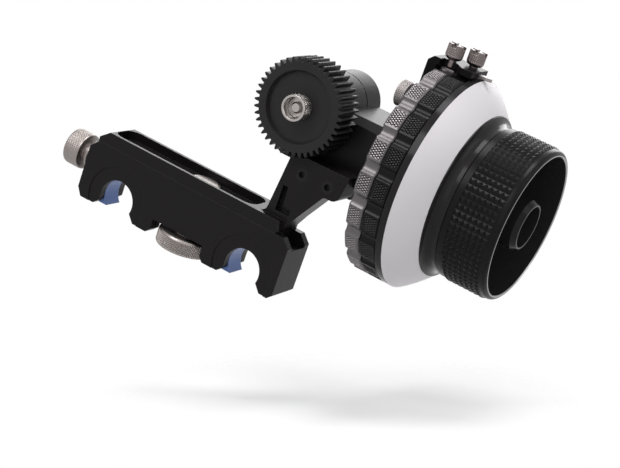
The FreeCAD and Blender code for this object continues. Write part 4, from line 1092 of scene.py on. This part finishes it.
@dataclass
class HandParts(Assembly):
    """Nut, knob and hand screws with knurled drums."""

    smooth: float = 28.0
    side_back: float = -60.1
    side_knurl: Knurl = Knurl(7.3, low=0.9, high=6.1, depth=0.12, around=192, along=20)
    knob_foot: float = -6.95
    knob_knurl: Knurl = Knurl(11.2, low=0.9, high=5.2, depth=0.36, around=280, along=16)
    nut_front: float = -13.05
    nut_knurl: Knurl = Knurl(4.9, low=0.5, high=5.0, depth=0.2, around=128, along=20)
    bracket_back: float = 54.8
    bracket_knurl: Knurl = Knurl(5.0, low=0.4, high=3.4, depth=0.2, around=136, along=12)
    lock_a: tuple[float, float] = (70.525, 14.5)
    lock_b: tuple[float, float] = (76.925, 19.5)
    lock_smooth: float = 26.0
    lock_knurl: Knurl = Knurl(3.25, low=100.6, high=104.3, depth=0.18, around=88, along=16)
    lock_tip: float = 95.95
    lock_tip_radius: float = 1.2
    lock_tip_edge: float = 0.4
    lock_stem: float = 1.6
    lock_head: float = 99.0
    lock_round: float = 1.6
    lock_round_turn: float = math.radians(80)
    lock_round_steps: int = 6
    lock_rim: float = 0.3
    castle_width: float = 1.8
    castle_depth: float = 1.3
    castle_reach: float = 9.0

    def build(self) -> None:
        """Build every hand part."""
        self.side_screw()
        self.knob()
        self.nut()
        self.bracket_screw()
        self.lock_screw("lock_screw_a", "lock_a", self.lock_a)
        self.lock_screw("lock_screw_b", "lock_b", self.lock_b)

    def side_screw(self) -> None:
        """Thumbscrew that drives the jaws."""
        profile = [
            (CORE, 0.35), (4.8, 0.35), (5.2, 0.0), (6.7, 0.0), (7.1, 0.2), (7.22, 0.6),
            *self.side_knurl.profile(), (7.22, 6.4), (7.1, 6.8), (6.7, 7.0), (4.2, 7.0),
            (4.2, 9.2), (5.45, 9.2), (5.7, 9.4), (5.7, 10.2), (5.5, 10.36), (4.4, 10.36),
            (4.4, 10.94), (5.5, 10.94), (5.7, 11.1), (5.7, 11.9), (5.5, 12.1), (1.9, 12.1),
            (1.9, 21.2), (1.5, 21.55), (CORE, 21.55),
        ]
        screw = Bench.knurled("side_thumbscrew_knurled", profile, self.side_knurl)
        Bench.seat(screw, Along.X, (self.side_back, *SIDE_AXIS), self.smooth)
        self.hand_over(screw, "side_thumbscrew", "side_screw", "nickel", NICKEL_X)

    def knob(self) -> None:
        """Clamping knob under the block."""
        profile = [
            (2.53, 7.45), (2.53, 1.3), (CORE, 1.3), (CORE, 0.45), (6.4, 0.45), (6.9, 0.0),
            (10.2, 0.0), (10.9, 0.25), (11.1, 0.6), *self.knob_knurl.profile(), (11.05, 5.5),
            (10.6, 6.1), (9.8, 6.4), (6.0, 6.4), (6.0, 7.45),
        ]
        knob = Bench.knurled("lock_knob_knurled", profile, self.knob_knurl)
        Bench.seat(knob, Along.Z, (*KNOB_AXIS, self.knob_foot), self.smooth)
        self.hand_over(knob, "lock_knob", "knob", "nickel", NICKEL_KNOB)

    def nut(self) -> None:
        """Hollow nut that holds the drive gear."""
        profile = [
            (3.8, 0.35), (3.95, 0.1), (4.15, 0.0), (4.5, 0.0), (4.75, 0.12), (4.82, 0.35),
            *self.nut_knurl.profile(), (4.82, 5.2), (4.7, 5.4), (2.125, 5.4), (2.125, 3.6),
            (3.5, 3.6), (3.8, 3.3),
        ]
        across, up = DRIVE_AXIS
        nut = Bench.knurled("gear_nut_knurled", profile, self.nut_knurl)
        Bench.seat(nut, Along.Y, (across, self.nut_front, up), self.smooth)
        self.hand_over(nut, "gear_nut", "drive", "nickel", NICKEL_Y)

    def bracket_screw(self) -> None:
        """Thumbscrew that holds the bracket to its ear."""
        profile = [
            (CORE, 0.25), (3.2, 0.25), (3.5, 0.0), (4.6, 0.0), (4.9, 0.25),
            *self.bracket_knurl.profile(), (4.9, 3.6), (4.7, 3.8), (2.8, 3.8), (2.8, 6.0),
            (1.5, 6.0), (1.5, 11.9), (1.25, 12.15), (CORE, 12.15),
        ]
        screw = Bench.knurled("bracket_thumbscrew_knurled", profile, self.bracket_knurl)
        Bench.seat(screw, Along.X, (self.bracket_back, *BRACKET_AXIS), self.smooth)
        self.hand_over(screw, "bracket_thumbscrew", "bracket_screw", "nickel", NICKEL_BRACKET)

    def lock_screw(self, node: str, body: str, axis: tuple[float, float]) -> None:
        """Ring lock screw with a rounded and castellated head.

        Args:
            node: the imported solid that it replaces.
            body: the body that carries it.
            axis: where its axis stands.
        """
        wide, head = self.lock_knurl.radius, self.lock_head
        top = self.lock_knurl.high + self.lock_rim
        cup = [
            (wide - self.lock_round * (1 - math.sin(turn)),
             head + self.lock_round * (1 - math.cos(turn)))
            for turn in spread(0.0, self.lock_round_turn, self.lock_round_steps)
        ]
        profile = [
            (CORE, self.lock_tip), (self.lock_tip_radius, self.lock_tip),
            (self.lock_stem, self.lock_tip + self.lock_tip_edge), (self.lock_stem, head),
            *cup, *self.lock_knurl.profile(), (wide - 0.12, top - 0.1), (wide - 0.25, top),
            (CORE, top),
        ]
        screw = Bench.knurled(node + "_knurled", profile, self.lock_knurl)
        for turn in (0.0, math.pi / 2):
            self.slot(screw, top, turn)
        Bench.seat(screw, Along.Z, (*axis, 0.0), self.lock_smooth)
        self.hand_over(screw, node, body, "nickel", NICKEL_LOCK)

    def slot(self, screw: bpy.types.Object, top: float, turn: float) -> None:
        """Cut one slot across the top of a head.

        Args:
            screw: the screw, at the origin.
            top: the height of its top.
            turn: the slot's angle from X.
        """
        Bench.clear()
        bpy.ops.mesh.primitive_cube_add(
            size=MM, location=(0.0, 0.0, top * MM), rotation=(0.0, 0.0, turn)
        )
        cutter = bpy.context.object
        cutter.scale = (self.castle_reach, self.castle_width, 2 * self.castle_depth)
        bpy.ops.object.transform_apply(location=True, rotation=True, scale=True)
        Bench.apply(screw, "BOOLEAN", {"operation": "DIFFERENCE", "object": cutter})
        bpy.data.objects.remove(cutter)


# --- Studio ---


@dataclass(frozen=True)
class Softbox:
    """A rectangular lamp that points at the object's middle.

    Its direction from the target is in the camera's own axes: right, up and back.
    """

    name: str
    direction: tuple[float, float, float]
    distance: float
    size: tuple[float, float]
    power: float


@dataclass
class Studio:
    """Camera, lamps, world and floor, with places and distances in metres."""

    shop: Paintshop
    target: Spot = (0.05, 0.015, 0.045)
    eye: Spot = (0.27155938, -0.50211464, 0.20510487)
    turn: tuple[float, float, float, float] = (0.75305004, 0.58419174, 0.02200117, 0.30191322)
    focal_px: float = 1592.003
    width_px: int = 620
    sensor: float = 36.0
    nearest: float = 0.01
    fill: float = 0.23
    floor_point_mm: Spot = (91.2, 6.0, -29.2)
    floor_tilt: float = math.radians(4)
    floor_radius: float = 0.28
    floor_sides: int = 128
    floor_color: Color = (0.85, 0.85, 0.85)
    floor_roughness: float = 0.9
    shadow_shift_mm: float = -10.0
    lamps: tuple[Softbox, ...] = (
        Softbox("key", (-0.43, 0.65, 0.63), distance=0.9, size=(0.35, 0.35), power=3.0),
        Softbox("overhead", (0.2, 0.96, 0.2), distance=1.1, size=(0.5, 0.4), power=6.0),
        Softbox("back_up", (0.2, 0.56, -0.8), distance=1.3, size=(1.2, 0.6), power=7.0),
        Softbox("right_fill", (0.8, 0.35, 0.45), distance=1.1, size=(0.6, 0.6), power=1.7),
        Softbox("front_fill", (0.0, 0.15, 1.0), distance=1.0, size=(1.0, 1.0), power=2.2),
    )

    def build(self) -> None:
        """Set up everything around the object."""
        self.camera()
        for lamp in self.lamps:
            self.lamp(lamp)
        self.world()
        self.floor()
        bpy.context.scene.view_settings.view_transform = "Standard"

    def way(self, direction: Sequence[float]) -> Vector:
        """A direction in the camera's own axes, as one in the frame."""
        return Quaternion(self.turn) @ Vector(direction).normalized()

    def camera(self) -> None:
        """Place the camera."""
        data = bpy.data.cameras.new("camera")
        data.sensor_width = self.sensor
        data.lens = self.focal_px / self.width_px * self.sensor
        data.clip_start = self.nearest
        camera = bpy.data.objects.new("camera", data)
        camera.rotation_mode = "QUATERNION"
        camera.rotation_quaternion = self.turn
        camera.location = self.eye
        bpy.context.scene.collection.objects.link(camera)
        bpy.context.scene.camera = camera

    def lamp(self, box: Softbox) -> None:
        """Hang one softbox, pointed at the target.

        Args:
            box: the softbox.
        """
        data = bpy.data.lights.new(box.name, "AREA")
        data.shape = "RECTANGLE"
        data.size, data.size_y = box.size
        data.energy = box.power
        lamp = bpy.data.objects.new(box.name, data)
        way = self.way(box.direction)
        lamp.location = Vector(self.target) + way * box.distance
        lamp.rotation_euler = (-way).to_track_quat("-Z", "Y").to_euler()
        lamp.visible_camera = False
        bpy.context.scene.collection.objects.link(lamp)

    def world(self) -> None:
        """White where the background shows, and a soft grey fill as light."""
        world = bpy.data.worlds.new("studio")
        bpy.context.scene.world = world
        graph = Graph(world, "ShaderNodeOutputWorld")
        color = graph.mix(graph.seen(), (self.fill,) * 3, (1.0, 1.0, 1.0))
        graph.show(graph.add("ShaderNodeBackground", {}, {"Color": color, "Strength": 1.0}))

    def floor(self) -> None:
        """A pale floor, level in the camera's view, that keeps the object's shadow."""
        rise, fall = math.cos(self.floor_tilt), math.sin(self.floor_tilt)
        normal, across = self.way((0.0, rise, fall)), self.way((1.0, 0.0, 0.0))
        back = self.way((0.0, -fall, rise))
        middle = Vector(self.floor_point_mm) * MM + across * self.shadow_shift_mm * MM
        paper = Ground(
            "floor_white", self.floor_color, self.floor_roughness, specular=0.0,
            middle=tuple(middle), across=tuple(across), back=tuple(back),
        )
        Bench.clear()
        bpy.ops.mesh.primitive_circle_add(
            vertices=self.floor_sides, radius=self.floor_radius, fill_type="NGON",
            location=middle, rotation=normal.to_track_quat("Z", "Y").to_euler(),
        )
        floor = bpy.context.object
        floor.name = "studio_floor"
        bpy.ops.object.transform_apply(location=True, rotation=True, scale=True)
        self.shop.paint(floor, paper)


def main() -> None:
    """Build the looks and report each piece."""
    logging.basicConfig(level=logging.INFO, format="%(name)s: %(message)s")
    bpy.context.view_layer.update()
    shop = Paintshop()
    shop.dress_nodes()
    for assembly in (StopRings(shop), Handwheel(shop), HandParts(shop)):
        assembly.build()
    Studio(shop).build()
    bpy.context.view_layer.update()


if __name__ == "__main__":
    main()
